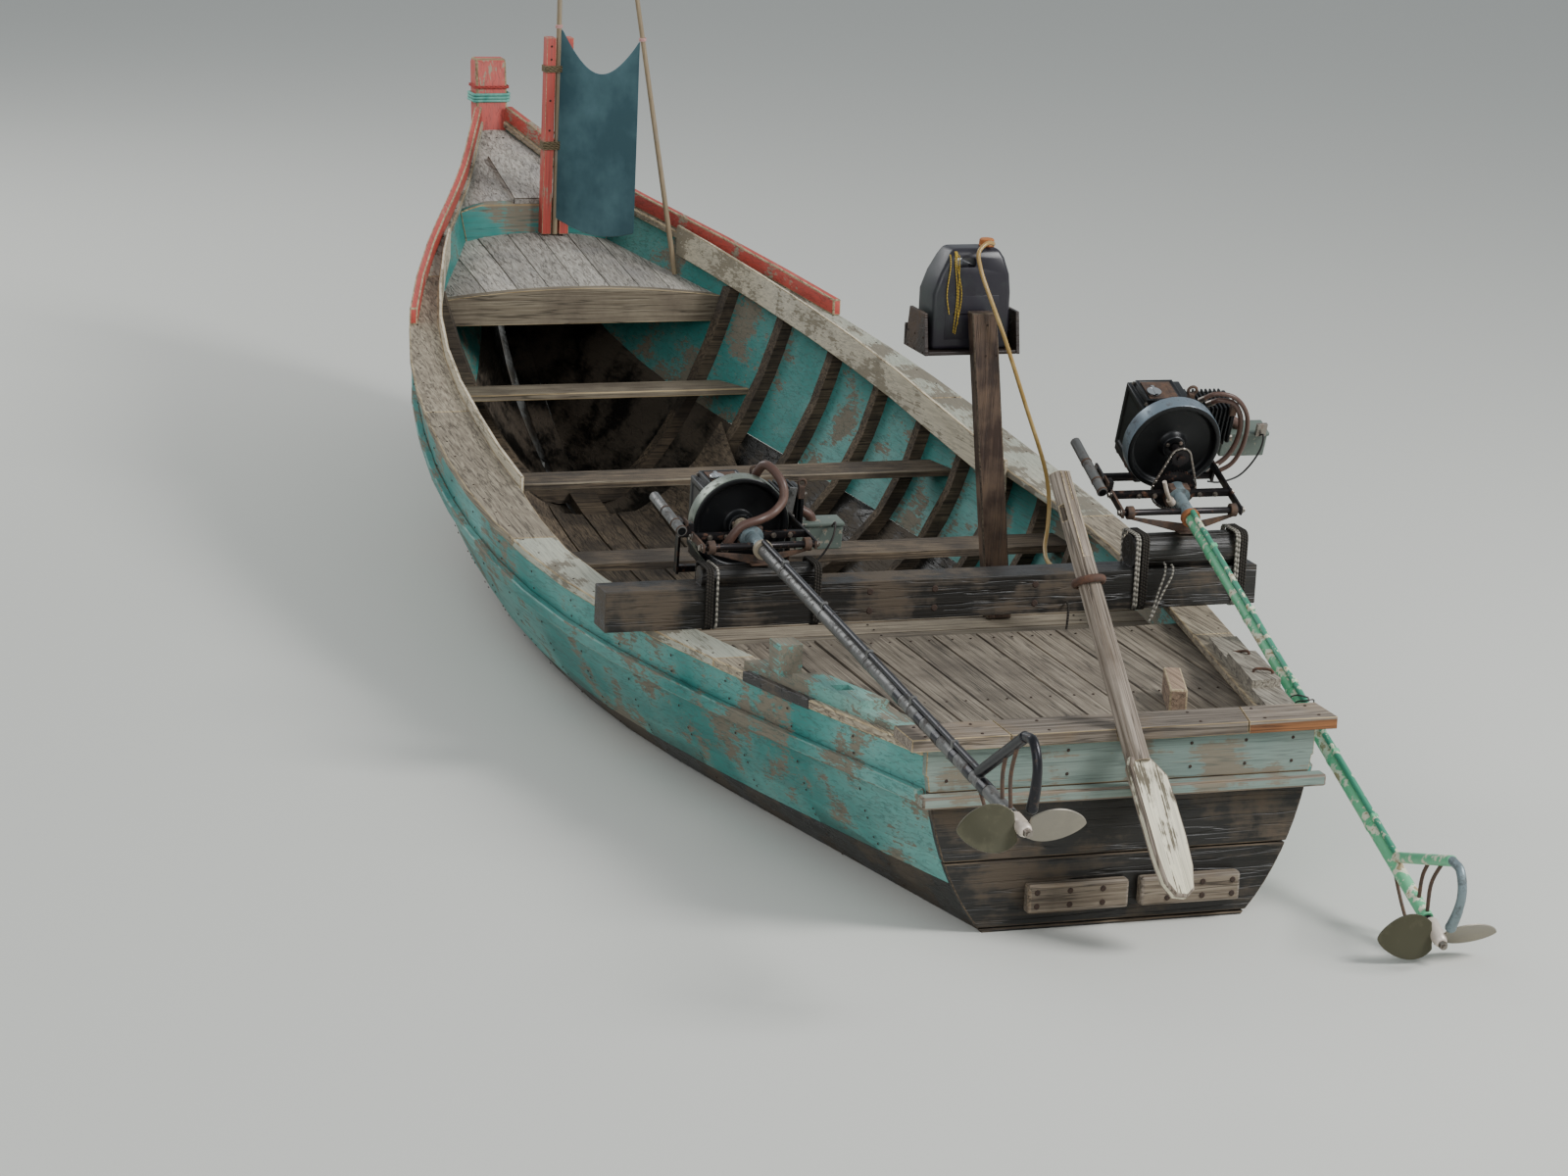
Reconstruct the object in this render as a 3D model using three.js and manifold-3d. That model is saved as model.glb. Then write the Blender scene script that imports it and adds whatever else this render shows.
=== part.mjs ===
// Wooden longtail boat with two tail engines, afloat, built in millimetres.
// +X runs to the bow, +Y to port and +Z up. The origin is on the waterline at the foot of the transom.

import * as THREE from 'three';
import { mergeVertices } from 'three/addons/utils/BufferGeometryUtils.js';
import Module from 'manifold-3d';

const wasm = await Module();
wasm.setup();

// Gap kept between touching pieces

const GAP = 0.3;

// Gap kept between a turning piece and what carries it

const RUN_GAP = 0.5;

// Hull lines by station
// x, halfBeam and sheer of the gunwale top, keel line, inner floor above it,
// half breadth of the floor and of the bilge as shares of halfBeam, and bilge height

const STATIONS = [
  { x: 0, halfBeam: 770, sheer: 713, keel: -220, floor: 30, flat: 0.56, bilge: 0.94, bilgeZ: 110 },
  { x: 900, halfBeam: 980, sheer: 678, keel: -262, floor: 30, flat: 0.58, bilge: 0.93, bilgeZ: 60 },
  { x: 1800, halfBeam: 1180, sheer: 657, keel: -290, floor: 30, flat: 0.6, bilge: 0.93, bilgeZ: 20 },
  { x: 2700, halfBeam: 1340, sheer: 660, keel: -300, floor: 30, flat: 0.62, bilge: 0.94, bilgeZ: 0 },
  { x: 3600, halfBeam: 1405, sheer: 698, keel: -300, floor: 30, flat: 0.62, bilge: 0.94, bilgeZ: 0 },
  { x: 4500, halfBeam: 1387, sheer: 772, keel: -298, floor: 30, flat: 0.6, bilge: 0.93, bilgeZ: 20 },
  { x: 5400, halfBeam: 1302, sheer: 885, keel: -285, floor: 32, flat: 0.55, bilge: 0.9, bilgeZ: 70 },
  { x: 6300, halfBeam: 1122, sheer: 1018, keel: -240, floor: 38, flat: 0.46, bilge: 0.84, bilgeZ: 170 },
  { x: 7200, halfBeam: 815, sheer: 1182, keel: -120, floor: 55, flat: 0.34, bilge: 0.75, bilgeZ: 340 },
  { x: 7800, halfBeam: 565, sheer: 1297, keel: 75, floor: 80, flat: 0.3, bilge: 0.72, bilgeZ: 560 },
  { x: 8300, halfBeam: 360, sheer: 1405, keel: 350, floor: 105, flat: 0.36, bilge: 0.74, bilgeZ: 800 },
  { x: 8700, halfBeam: 212, sheer: 1520, keel: 705, floor: 135, flat: 0.5, bilge: 0.78, bilgeZ: 1060 },
  { x: 9000, halfBeam: 100, sheer: 1616, keel: 1105, floor: 170, flat: 0.93, bilge: 0.96, bilgeZ: 1330 },
];

const HULL_END = 9000;
const PLANK = 28;
const KEEL_HALF = 60;
const KEEL_DEPTH = 70;
const BOTTOM_SHARES = [0, 0.08, 0.16, 0.25, 0.34, 0.42, 0.5, 0.58, 0.66];
const SIDE_SHARES = [0.66, 0.74, 0.82, 0.885, 0.925, 1];
const SHARE_GAP = 0.0005;
const RUB_OUT = 38;

// Gunwale cap: thickness, overhang, and its width along the boat

const CAP_THICK = 36;
const CAP_OVERHANG = 8;
const CAP_WIDTHS = [
  { x: 0, width: 160 },
  { x: 3150, width: 185 },
  { x: 4050, width: 245 },
  { x: 4950, width: 225 },
  { x: 6300, width: 150 },
  { x: 7500, width: 66 },
  { x: HULL_END, width: 52 },
];
const RAIL = { from: 6300, height: 84, thick: 42 };
const COAMING = { from: 4050, to: 7500, thick: 18, below: 112, above: 46 };

// Transom, cap and the two wooden pads that guide the rudder

const TRANSOM = { thick: 42, split: 548, ledgeBottom: 502, ledgeOut: 62, top: 713 };
const TRANSOM_CAP = { top: 760, fore: 120, aft: 74, half: 842 };
const RUDDER_PAD = { bottom: 76, top: 186, thick: 52, length: 400, gap: 48, gapCentre: -60 };

// Bow

const STEM = { half: 88, foot: 1150, top: 1952, aftFoot: 9001, aftTop: 9078, frontFoot: 9085,
  frontTop: 9206 };
const FOREDECK = { aft: 8100, fore: 8990, edgeAft: 1262, edgeFore: 1556, crownAft: 92, crownFore: 14,
  thick: 26 };
const FOREDECK_BEAM = { thick: 60, bottom: 1086 };
const LOWER_DECK = { aft: 7200, edgeAft: 962, edgeFore: 1098, crown: 62, thick: 26 };
const LOWER_BEAM = { thick: 70, bottom: 836 };

// Ribs, keelson, floor boards, decks and thwarts

const RIB = { first: 450, pitch: 440, count: 16, wide: 55, deep: 58 };
const KEELSON = { half: 70, high: 56, from: 120, to: 7040 };
const SOLE = { from: 3420, to: 6690, half: 640, thick: 20 };
const MID_DECK = { from: 2060, to: 3380, top: 410, thick: 28 };
const AFT_DECK = { from: 2, to: 1830, top: 598, thick: 30 };
const THWARTS = [
  { name: 'thwart_aft', x: 3750, top: 470 },
  { name: 'thwart_middle', x: 5070, top: 520 },
  { name: 'thwart_fore', x: 6830, top: 560 },
];
const THWART = { wide: 230, thick: 34 };

// Stepped blocks on the aft gunwales, and the timber head on the port one

const QUARTER_STEPS = [
  { from: 130, to: 450, height: 30 },
  { from: 450, to: 900, height: 62 },
  { from: 900, to: 1240, height: 34 },
];
const TIMBER_HEAD = { from: 1000, to: 1110, wide: 96, height: 150 };
const POST_HOLE = { from: 620, to: 700, wide: 70, deep: 42 };
const BLOCK_EDGE = { inner: 138, outer: 18 };

// Crossbeam on the gunwales and the logs on it that carry the engines

const BEAM = { x: 1945, thick: 152, high: 166, half: 1415 };
const LOG = { sunk: 14, half: 250, pinHole: 14.6, pinDepth: 70 };

// Mast posts with the pole between them, the second pole and the cloth hung from both

const MAST = { x: 8001.7, y: -80, gap: 46, wide: 50, deep: 76, top: 2215, bolt: 7, boltX: 22 };
const MAST_POLE = { x: 7984, foot: -83, head: -72, top: 2600, radius: 15 };
const CLOTH_POLE = { x: 7450, foot: -600, head: -318, top: 2600, radius: 14 };
const CLOTH = { top: 2280, bottom: 1335, sag: 175, thick: 12 };

// Fuel can in its tray on a post

const FUEL = { x: 2860, y: -432, top: 1560, long: 262, wide: 432, high: 178, fore: 96, wall: 16 };
const FUEL_POST = { from: 2672, to: 2732, half: 57, footY: -600, headY: -454, head: 1752 };
const CAN = {
  long: 186, wide: 352, tall: 430, bevel: 26, portShoulder: [84, 150], starboardShoulder: [56, 190],
  cap: 34, capY: -88, spigot: 10, spigotOut: 46, spigotUp: 20,
};

// Fuel hose from the can's spigot to the one on the crossbeam, points chosen along its hang

const HOSE_RADIUS = 9;
const HOSE_SPIGOT = { y: -790, z: 780, out: 24, radius: 12 };
const HOSE = [
  [2748, -478, 2036],
  [2722, -432, 2004],
  [2700, -436, 1934],
  [2648, -476, 1796],
  [2630, -532, 1654],
  [2635, -648, 1360],
  [2660, -770, 1060],
  [2650, -790, 930],
  [2620, -778, 820],
  [2560, -745, 750],
  [2430, -715, 712],
  [2300, -742, 718],
  [2180, -776, 752],
];

// Rudder axis from the transom to the head, and its blade

const RUDDER = { foot: [-98, 0, 735], head: [470, 105, 1590], stock: 46, notch: 46.6, bladeTop: 60,
  bladeLong: 560 };
const RUDDER_TURN = -62;

// Engines: pivot, slope of the tail, swing to port, height of the crank over the tail axis,
// length from pivot to propeller, radius of the log below, and the reach of the frame to each side

const ENGINES = [
  { side: 'starboard', pivot: [1945, -1110, 1045], slope: 19.84, swing: 2.36, crank: 155, tail: 2800,
    log: 74,
    frame: [285, -240] },
  { side: 'port', pivot: [1945, 757, 970], slope: 4.75, swing: 0.6, crank: 0, tail: 2960, log: 44,
    frame: [236, -236] },
];
const YOKE = {
  plateHalf: 42, plateThick: 9, pin: 14, armThick: 10, armHigh: 32, eye: 28, eyeHalf: 14, hole: 14.6,
    inset: 34,
};
const AXLE = 14;
const STUB = { aft: -36, fore: 150, radius: 30, housing: 50, housingFrom: 98 };
const FRAME_BAR = { wide: 10, high: 34, cross: 26, aftCross: 135, foreCross: 350 };
const HANDLE = { from: 95, to: 425, out: 62, splay: 22, up: 40, radius: 22, bracket: 150 };
const FLYWHEEL = { radius: 208, rim: 26, from: 246, thick: 78, web: 18, hub: 46, shaft: 16 };
const BLOCK = { from: 338, to: 590, port: 118, starboard: -118, down: 188, up: 112, rail: 90 };
const HOPPER = { from: 400, to: 560, starboard: -70, port: 96, up: 140 };
const BARREL = { from: 400, to: 560, out: -310, half: 92 };
const INTAKE = {
  from: 455, to: 560, near: -306, out: -520, low: -190, high: -76, pipe: 24, pipeX: 505, pipeY: [-380,
    -270],
};
const RAIL_BAR = { wide: 26, high: 40, to: 606 };
const TUBE = { radius: 26, pipe: 12, pipeUp: 40, collar: 40, end: 112 };
const GUARD = { bar: 21, bow: 17, rod: 8 };
const PROP = { radius: 236, hub: 29, hubLong: 86, blade: 172, bladeAt: 14, thick: 8, pitch: 26, nut: 17 };
const SPROCKET = { x: 168, thick: 12, lower: 92, upper: 40, clear: 0.8, chain: 9 };

// Interpolation of the station table by a smooth curve through its rows

function rowSpan(x) {
  let i = 0;
  while (i < STATIONS.length - 2 && x > STATIONS[i + 1].x) i += 1;
  return i;
}

function slopeAt(i, key) {
  const a = STATIONS[Math.max(0, i - 1)];
  const b = STATIONS[Math.min(STATIONS.length - 1, i + 1)];
  return (b[key] - a[key]) / (b.x - a.x);
}

function line(key, x) {
  const i = rowSpan(x);
  const a = STATIONS[i];
  const b = STATIONS[i + 1];
  const span = b.x - a.x;
  const t = (x - a.x) / span;
  const t2 = t * t;
  const t3 = t2 * t;
  return a[key] * (2 * t3 - 3 * t2 + 1) + slopeAt(i, key) * span * (t3 - 2 * t2 + t)
    + b[key] * (3 * t2 - 2 * t3) + slopeAt(i + 1, key) * span * (t3 - t2);
}

// Outer hull section at x as a cubic curve from the keel's side to the gunwale

function sectionPoint(x, t) {
  const beam = line('halfBeam', x);
  const start = Math.min(KEEL_HALF + GAP + 2 + PLANK * Math.max(0, (x - 6300) / 2000),
    KEEL_HALF + PLANK + GAP);
  const p = [
    [start, line('keel', x)],
    [Math.max(beam * line('flat', x), start), line('keel', x) + 6],
    [beam * line('bilge', x), line('bilgeZ', x)],
    [beam, line('sheer', x) - CAP_THICK - GAP],
  ];
  const s = 1 - t;
  const w = [s * s * s, 3 * s * s * t, 3 * s * t * t, t * t * t];
  const y = w.reduce((sum, wi, i) => sum + wi * p[i][0], 0);
  const z = w.reduce((sum, wi, i) => sum + wi * p[i][1], 0);
  const d = [3 * s * s, 6 * s * t, 3 * t * t];
  const dy = d.reduce((sum, di, i) => sum + di * (p[i + 1][0] - p[i][0]), 0);
  const dz = d.reduce((sum, di, i) => sum + di * (p[i + 1][1] - p[i][1]), 0);
  const n = Math.hypot(dy, dz);
  return { y, z, ny: -dz / n, nz: dy / n };
}

// Mesh helpers

function geometry(points, triangles) {
  const g = new THREE.BufferGeometry();
  g.setAttribute('position', new THREE.Float32BufferAttribute(points.flat(), 3));
  g.setIndex(triangles.flat());
  return g;
}

function toSolid(g) {
  const bare = g.clone();
  bare.deleteAttribute('normal');
  bare.deleteAttribute('uv');
  const merged = mergeVertices(bare, 1e-3);
  const solid = new wasm.Manifold(new wasm.Mesh({
    numProp: 3,
    vertProperties: new Float32Array(merged.attributes.position.array),
    triVerts: new Uint32Array(merged.index.array),
  }));
  return solid;
}

function fromSolid(solid) {
  const m = solid.getMesh();
  const g = new THREE.BufferGeometry();
  g.setAttribute('position', new THREE.BufferAttribute(new Float32Array(m.vertProperties), 3));
  g.setIndex(new THREE.BufferAttribute(new Uint32Array(m.triVerts), 1));
  return g;
}

function join(...parts) {
  return fromSolid(parts.map(toSolid).reduce((a, b) => a.add(b)));
}

function cut(from, ...tools) {
  return fromSolid(tools.map(toSolid).reduce((a, b) => a.subtract(b), toSolid(from)));
}

function common(a, b) {
  return fromSolid(toSolid(a).intersect(toSolid(b)));
}

// Closed loft through rings of equal point count, with its first and last ring capped

function loft(rings, flip = false) {
  const n = rings[0].length;
  const points = rings.flat();
  const tris = [];
  const tri = (a, b, c) => tris.push(flip ? [a, c, b] : [a, b, c]);
  for (let r = 0; r < rings.length - 1; r += 1) {
    for (let i = 0; i < n; i += 1) {
      const j = (i + 1) % n;
      const a = r * n + i;
      const b = r * n + j;
      tri(a, b, b + n);
      tri(a, b + n, a + n);
    }
  }
  const capEnd = (start, reverse) => {
    const shape = rings[start / n].map((p) => new THREE.Vector2(p[1], p[2]));
    THREE.ShapeUtils.triangulateShape(shape, []).forEach(([a, b, c]) => {
      tris.push(reverse ? [start + a, start + c, start + b] : [start + a, start + b, start + c]);
    });
  };
  capEnd(0, true);
  capEnd((rings.length - 1) * n, false);
  return geometry(points, tris);
}

function box(x0, x1, y0, y1, z0, z1) {
  const g = new THREE.BoxGeometry(x1 - x0, y1 - y0, z1 - z0);
  return g.translate((x0 + x1) / 2, (y0 + y1) / 2, (z0 + z1) / 2);
}

// Outline in x and z, extruded from y0 to y1

function plateXZ(outline, y0, y1) {
  const shape = new THREE.Shape(outline.map(([x, z]) => new THREE.Vector2(x, z)));
  const g = new THREE.ExtrudeGeometry(shape, { depth: y1 - y0, bevelEnabled: false });
  return g.rotateX(Math.PI / 2).translate(0, y1, 0);
}

// Outline in y and z, extruded from x0 to x1

function plateYZ(outline, x0, x1) {
  const shape = new THREE.Shape(outline.map(([y, z]) => new THREE.Vector2(y, z)));
  const g = new THREE.ExtrudeGeometry(shape, { depth: x1 - x0, bevelEnabled: false });
  return g.rotateX(Math.PI / 2).rotateZ(Math.PI / 2).translate(x0, 0, 0);
}

// Round bar between two points, and a round bar that follows a list of points

function bar(from, to, radius, sides = 10, endRadius = radius) {
  const a = new THREE.Vector3(...from);
  const b = new THREE.Vector3(...to);
  const g = new THREE.CylinderGeometry(endRadius, radius, a.distanceTo(b), sides);
  const turn = new THREE.Quaternion().setFromUnitVectors(new THREE.Vector3(0, 1, 0),
    b.clone().sub(a).normalize());
  return g.applyQuaternion(turn).translate((a.x + b.x) / 2, (a.y + b.y) / 2, (a.z + b.z) / 2);
}

function bentBar(points, radius, steps, sides = 8) {
  const curve = new THREE.CatmullRomCurve3(points.map((p) => new THREE.Vector3(...p)), false,
    'centripetal');
  const section = new THREE.Shape();
  for (let i = 0; i < sides; i += 1) {
    const a = (2 * Math.PI * i) / sides;
    if (i === 0) section.moveTo(radius * Math.cos(a), radius * Math.sin(a));
    else section.lineTo(radius * Math.cos(a), radius * Math.sin(a));
  }
  section.closePath();
  return new THREE.ExtrudeGeometry(section, { steps, extrudePath: curve, bevelEnabled: false });
}

// Turned solid about the x axis from a profile of radius and x

function turned(profile, sides = 24) {
  const points = profile.map(([radius, x]) => new THREE.Vector2(radius, x));
  return new THREE.LatheGeometry(points, sides).rotateZ(-Math.PI / 2);
}

// Value between rows of a short table

function between(rows, key, x) {
  let i = 0;
  while (i < rows.length - 2 && x > rows[i + 1].x) i += 1;
  const u = (x - rows[i].x) / (rows[i + 1].x - rows[i].x);
  return rows[i][key] + u * (rows[i + 1][key] - rows[i][key]);
}

// Assembly

const boat = new THREE.Group();

function add(name, g, colour, roughness = 0.8, metalness = 0, parent = boat) {
  const material = new THREE.MeshStandardMaterial({ color: colour, roughness, metalness });
  const mesh = new THREE.Mesh(g, material);
  mesh.name = name;
  parent.add(mesh);
  return mesh;
}

const SIDES = [
  { side: 'port', s: 1 },
  { side: 'starboard', s: -1 },
];

const LOFT_X = [0, 450, 900, 1350, 1800, 2250, 2700, 3150, 3600, 4050, 4500, 4950, 5400, 5850, 6300,
  6750, 7200,
  7500, 7800, 8050, 8300, 8500, 8700, 8850, HULL_END];

const sheerAt = (x) => line('sheer', x);
const capTopAt = (x) => between(LOFT_X.map((px) => ({ x: px, z: sheerAt(px) })), 'z', x);
const beamAt = (x) => line('halfBeam', x);
const capWidth = (x) => between(CAP_WIDTHS, 'width', x);

// Inner face of the planking, drawn in by a further offset

function innerPoint(x, t, offset) {
  const p = sectionPoint(x, t);
  const y = Math.max(p.y + p.ny * (PLANK + offset), KEEL_HALF + GAP);
  return [y, Math.min(p.z + p.nz * (PLANK + offset), sheerAt(x) - CAP_THICK - GAP)];
}

// Planking through a list of shares of the section, a closed strip with the plank's thickness

function planking(s, shares) {
  const rings = LOFT_X.map((x) => {
    const outer = shares.map((t) => [x, s * sectionPoint(x, t).y, sectionPoint(x, t).z]);
    const inner = shares.map((t) => {
      const [y, z] = innerPoint(x, t, 0);
      return [x, s * y, z];
    });
    return [...outer, ...inner.reverse()];
  });
  return loft(rings, s < 0);
}

// Closed volume inside the planking, drawn in by an offset from its inner face

const ALL_SHARES = [...BOTTOM_SHARES, ...SIDE_SHARES.slice(1)];
const RIB_SHARES = ALL_SHARES.filter((t, k) => k % 2 === 0 || t === 1);

function inside(offset, shares = ALL_SHARES) {
  const halves = SIDES.map(({ s }) => loft(LOFT_X.map((x) => {
    const floor = line('keel', x) + line('floor', x) + offset;
    const wall = shares.map((t, k) => {
      const [y, z] = innerPoint(x, t, offset);
      return [x, s * y, Math.max(z, floor + k * 0.02)];
    });
    return [...wall.reverse(), [x, 0, floor], [x, 0, sheerAt(x) - CAP_THICK - GAP]];
  }), s > 0));
  return join(...halves);
}

// Strip along a side whose section is given by a function of x, as corners y and z

function sideStrip(s, xs, corners) {
  const rings = xs.map((x) => corners(x).map(([y, z]) => [x, s * y, z]));
  return loft(rings, s < 0);
}

// Cambered slab from the hull's middle to beyond its sides, with edge height at a half width

function cambered(xs, edge, crown, half, thick, flatBottom) {
  const rings = xs.map((x) => {
    const top = [];
    const low = [];
    for (let k = 0; k <= 12; k += 1) {
      const y = half(x) * (k / 6 - 1);
      const z = edge(x) + crown(x) * (1 - (y / half(x)) ** 2);
      top.push([x, y, z]);
      low.push([x, y, flatBottom === undefined ? z - thick : flatBottom]);
    }
    return [...low, ...top.reverse()];
  });
  return loft(rings);
}

const mix = (a, b, u) => a + (b - a) * u;

// Keel and stem timber along the centre line

const keelTop = LOFT_X.map((x) => [x, line('keel', x) + line('floor', x) - GAP]);
keelTop[0][1] += 0.01;
const keelLow = LOFT_X.map((x) => {
  const run = 20;
  const rise = line('keel', Math.min(x + run, HULL_END)) - line('keel', Math.min(x + run,
    HULL_END) - run);
  const slope = Math.atan2(rise, run);
  return [Math.max(0, x + KEEL_DEPTH * Math.sin(slope)), line('keel', x) - KEEL_DEPTH * Math.cos(slope)];
});
const stemTop = STEM.foot - GAP;
const keelOutline = [...keelLow, [HULL_END + 74, stemTop], [HULL_END, stemTop]];
const keelSide = [...keelOutline, ...keelTop.filter(([, z]) => z < stemTop).reverse()];
add('keel_and_stem', plateXZ(keelSide, -KEEL_HALF, KEEL_HALF), 0x2a2622, 0.9);

// Planking, rub rails, gunwale caps, wash rails and coamings

const washX = [RAIL.from, ...LOFT_X.filter((x) => x > RAIL.from)];
const coamingX = [COAMING.from, ...LOFT_X.filter((x) => x > COAMING.from && x < COAMING.to), COAMING.to];
const capInner = (x) => beamAt(x) + CAP_OVERHANG - capWidth(x);

SIDES.forEach(({ side, s }) => {
  const lastBottom = BOTTOM_SHARES.length - 1;
  const bottomShares = BOTTOM_SHARES.map((t, k) => (k === lastBottom ? t - SHARE_GAP : t));
  const sideShares = SIDE_SHARES.map((t, k) => (k === 0 ? t + SHARE_GAP : t));
  add(`bottom_planking_${side}`, planking(s, bottomShares), 0x201d1a, 0.9);
  add(`side_planking_${side}`, planking(s, sideShares), 0x2b7f78, 0.8);
  add(`rub_rail_${side}`, sideStrip(-s, LOFT_X, (x) => {
    const low = sectionPoint(x, SIDE_SHARES[3]);
    const high = sectionPoint(x, SIDE_SHARES[4]);
    return [
      [-low.y + low.ny * GAP * 2, low.z - low.nz * GAP * 2],
      [-high.y + high.ny * GAP * 2, high.z - high.nz * GAP * 2],
      [-high.y - RUB_OUT, high.z],
      [-low.y - RUB_OUT, low.z + 4],
    ];
  }), 0x35857c, 0.8);
  add(`gunwale_cap_${side}`, sideStrip(s, LOFT_X, (x) => [
    [capInner(x), sheerAt(x) - CAP_THICK],
    [beamAt(x) + CAP_OVERHANG, sheerAt(x) - CAP_THICK],
    [beamAt(x) + CAP_OVERHANG, sheerAt(x)],
    [capInner(x), sheerAt(x)],
  ]), 0x9a9486, 0.85);
  add(`wash_rail_${side}`, sideStrip(s, washX, (x) => [
    [beamAt(x) + CAP_OVERHANG - RAIL.thick, sheerAt(x) + GAP],
    [beamAt(x) + CAP_OVERHANG, sheerAt(x) + GAP],
    [beamAt(x) + CAP_OVERHANG, sheerAt(x) + RAIL.height],
    [beamAt(x) + CAP_OVERHANG - RAIL.thick, sheerAt(x) + RAIL.height],
  ]), 0xc8594a, 0.7);
  add(`coaming_${side}`, sideStrip(s, coamingX, (x) => [
    [capInner(x) - GAP - COAMING.thick, sheerAt(x) - COAMING.below],
    [capInner(x) - GAP, sheerAt(x) - COAMING.below],
    [capInner(x) - GAP, sheerAt(x) + COAMING.above],
    [capInner(x) - GAP - COAMING.thick, sheerAt(x) + COAMING.above],
  ]), 0xd4c8ae, 0.8);
});

// Stem post above the planking

const stemPost = plateXZ([
  [STEM.aftFoot, STEM.foot],
  [STEM.frontFoot, STEM.foot],
  [mix(STEM.frontFoot, STEM.frontTop, 0.55), mix(STEM.foot, STEM.top, 0.5)],
  [STEM.frontTop, STEM.top - 26],
  [STEM.frontTop - 22, STEM.top],
  [STEM.aftTop + 18, STEM.top],
  [STEM.aftTop, STEM.top - 20],
  [STEM.aftFoot, 1560],
], -STEM.half, STEM.half);
add('stem_post', stemPost, 0xcf5c4c, 0.7);

// Transom: board below, light plank above, ledge between them, cap and pads

const transomRing = [];
for (let k = 0; k <= 20; k += 1) {
  const p = sectionPoint(0, k / 20);
  transomRing.push([p.y, p.z]);
}
const transomOutline = [...transomRing, ...transomRing.map(([y, z]) => [-y, z]).reverse()];
const transomSlab = plateYZ(transomOutline, -TRANSOM.thick, -GAP);
const wide = 1000;
add('transom_board', common(transomSlab, box(-99, 0, -wide, wide, -400, TRANSOM.split - GAP)), 0x1d1b19,
  0.9);
const topPlank = join(
  common(transomSlab, box(-99, 0, -wide, wide, TRANSOM.split, 900)),
  box(-TRANSOM.thick, -GAP, -beamAt(0), beamAt(0), TRANSOM.split + 60, TRANSOM.top),
);
add('transom_top_plank', topPlank, 0x8fa596, 0.85);
add('transom_ledge', box(-TRANSOM.thick - GAP - TRANSOM.ledgeOut, -TRANSOM.thick - GAP, -800, 800,
  TRANSOM.ledgeBottom, TRANSOM.split), 0x6f8f84, 0.85);

const rudderFoot = new THREE.Vector3(...RUDDER.foot);
const rudderHead = new THREE.Vector3(...RUDDER.head);
const rudderUp = rudderHead.clone().sub(rudderFoot).normalize();
const notchLow = rudderFoot.clone().addScaledVector(rudderUp, -120).toArray();
const notchHigh = rudderFoot.clone().addScaledVector(rudderUp, 160).toArray();
add('transom_cap', cut(
  box(-TRANSOM_CAP.aft, TRANSOM_CAP.fore, -TRANSOM_CAP.half, TRANSOM_CAP.half, TRANSOM.top + GAP,
    TRANSOM_CAP.top),
  bar(notchLow, notchHigh, RUDDER.notch, 20),
), 0x8a7f72, 0.9);

SIDES.forEach(({ side, s }) => {
  const near = RUDDER_PAD.gapCentre + (s * RUDDER_PAD.gap) / 2;
  const far = near + s * RUDDER_PAD.length;
  add(`rudder_pad_${side}`, box(-TRANSOM.thick - GAP - RUDDER_PAD.thick, -TRANSOM.thick - GAP,
    Math.min(near, far), Math.max(near, far), RUDDER_PAD.bottom, RUDDER_PAD.top), 0x6a5e50, 0.9);
});

// Foredeck with its beam, lower foredeck with its beam

const hollow = inside(GAP);
const foreU = (x) => (x - FOREDECK.aft) / (FOREDECK.fore - FOREDECK.aft);
const foreEdge = (x) => mix(FOREDECK.edgeAft, FOREDECK.edgeFore, foreU(x));
const foreCrown = (x) => mix(FOREDECK.crownAft, FOREDECK.crownFore, foreU(x));
const foreHalf = (x) => beamAt(x) + 20;
const foreX = [FOREDECK.aft, 8300, 8500, 8700, 8850, FOREDECK.fore];
add('foredeck', common(hollow, cambered(foreX, foreEdge, foreCrown, foreHalf, FOREDECK.thick)),
  0xb5b0a5, 0.9);
const beamX = [FOREDECK.aft - GAP - FOREDECK_BEAM.thick, FOREDECK.aft - GAP];
add('foredeck_beam', common(hollow, cambered(beamX, () => FOREDECK.edgeAft, () => FOREDECK.crownAft,
  () => foreHalf(FOREDECK.aft), 0, FOREDECK_BEAM.bottom)), 0x2e7f78, 0.8);

const lowerFore = beamX[0] - GAP;
const lowerU = (x) => (x - LOWER_DECK.aft) / (lowerFore - LOWER_DECK.aft);
const lowerEdge = (x) => mix(LOWER_DECK.edgeAft, LOWER_DECK.edgeFore, lowerU(x));
const lowerX = [LOWER_DECK.aft, 7500, 7800, lowerFore];
add('lower_foredeck', common(hollow, cambered(lowerX, lowerEdge, () => LOWER_DECK.crown, beamAt,
  LOWER_DECK.thick)), 0x8c8a8c, 0.9);
const lowerBeamX = [LOWER_DECK.aft - GAP - LOWER_BEAM.thick, LOWER_DECK.aft - GAP];
add('lower_deck_beam', common(hollow, cambered(lowerBeamX, () => LOWER_DECK.edgeAft,
  () => LOWER_DECK.crown,
  () => beamAt(LOWER_DECK.aft), 0, LOWER_BEAM.bottom)), 0x6f5c46, 0.9);

// Ribs joined by the keelson, cut off below the decks

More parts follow.
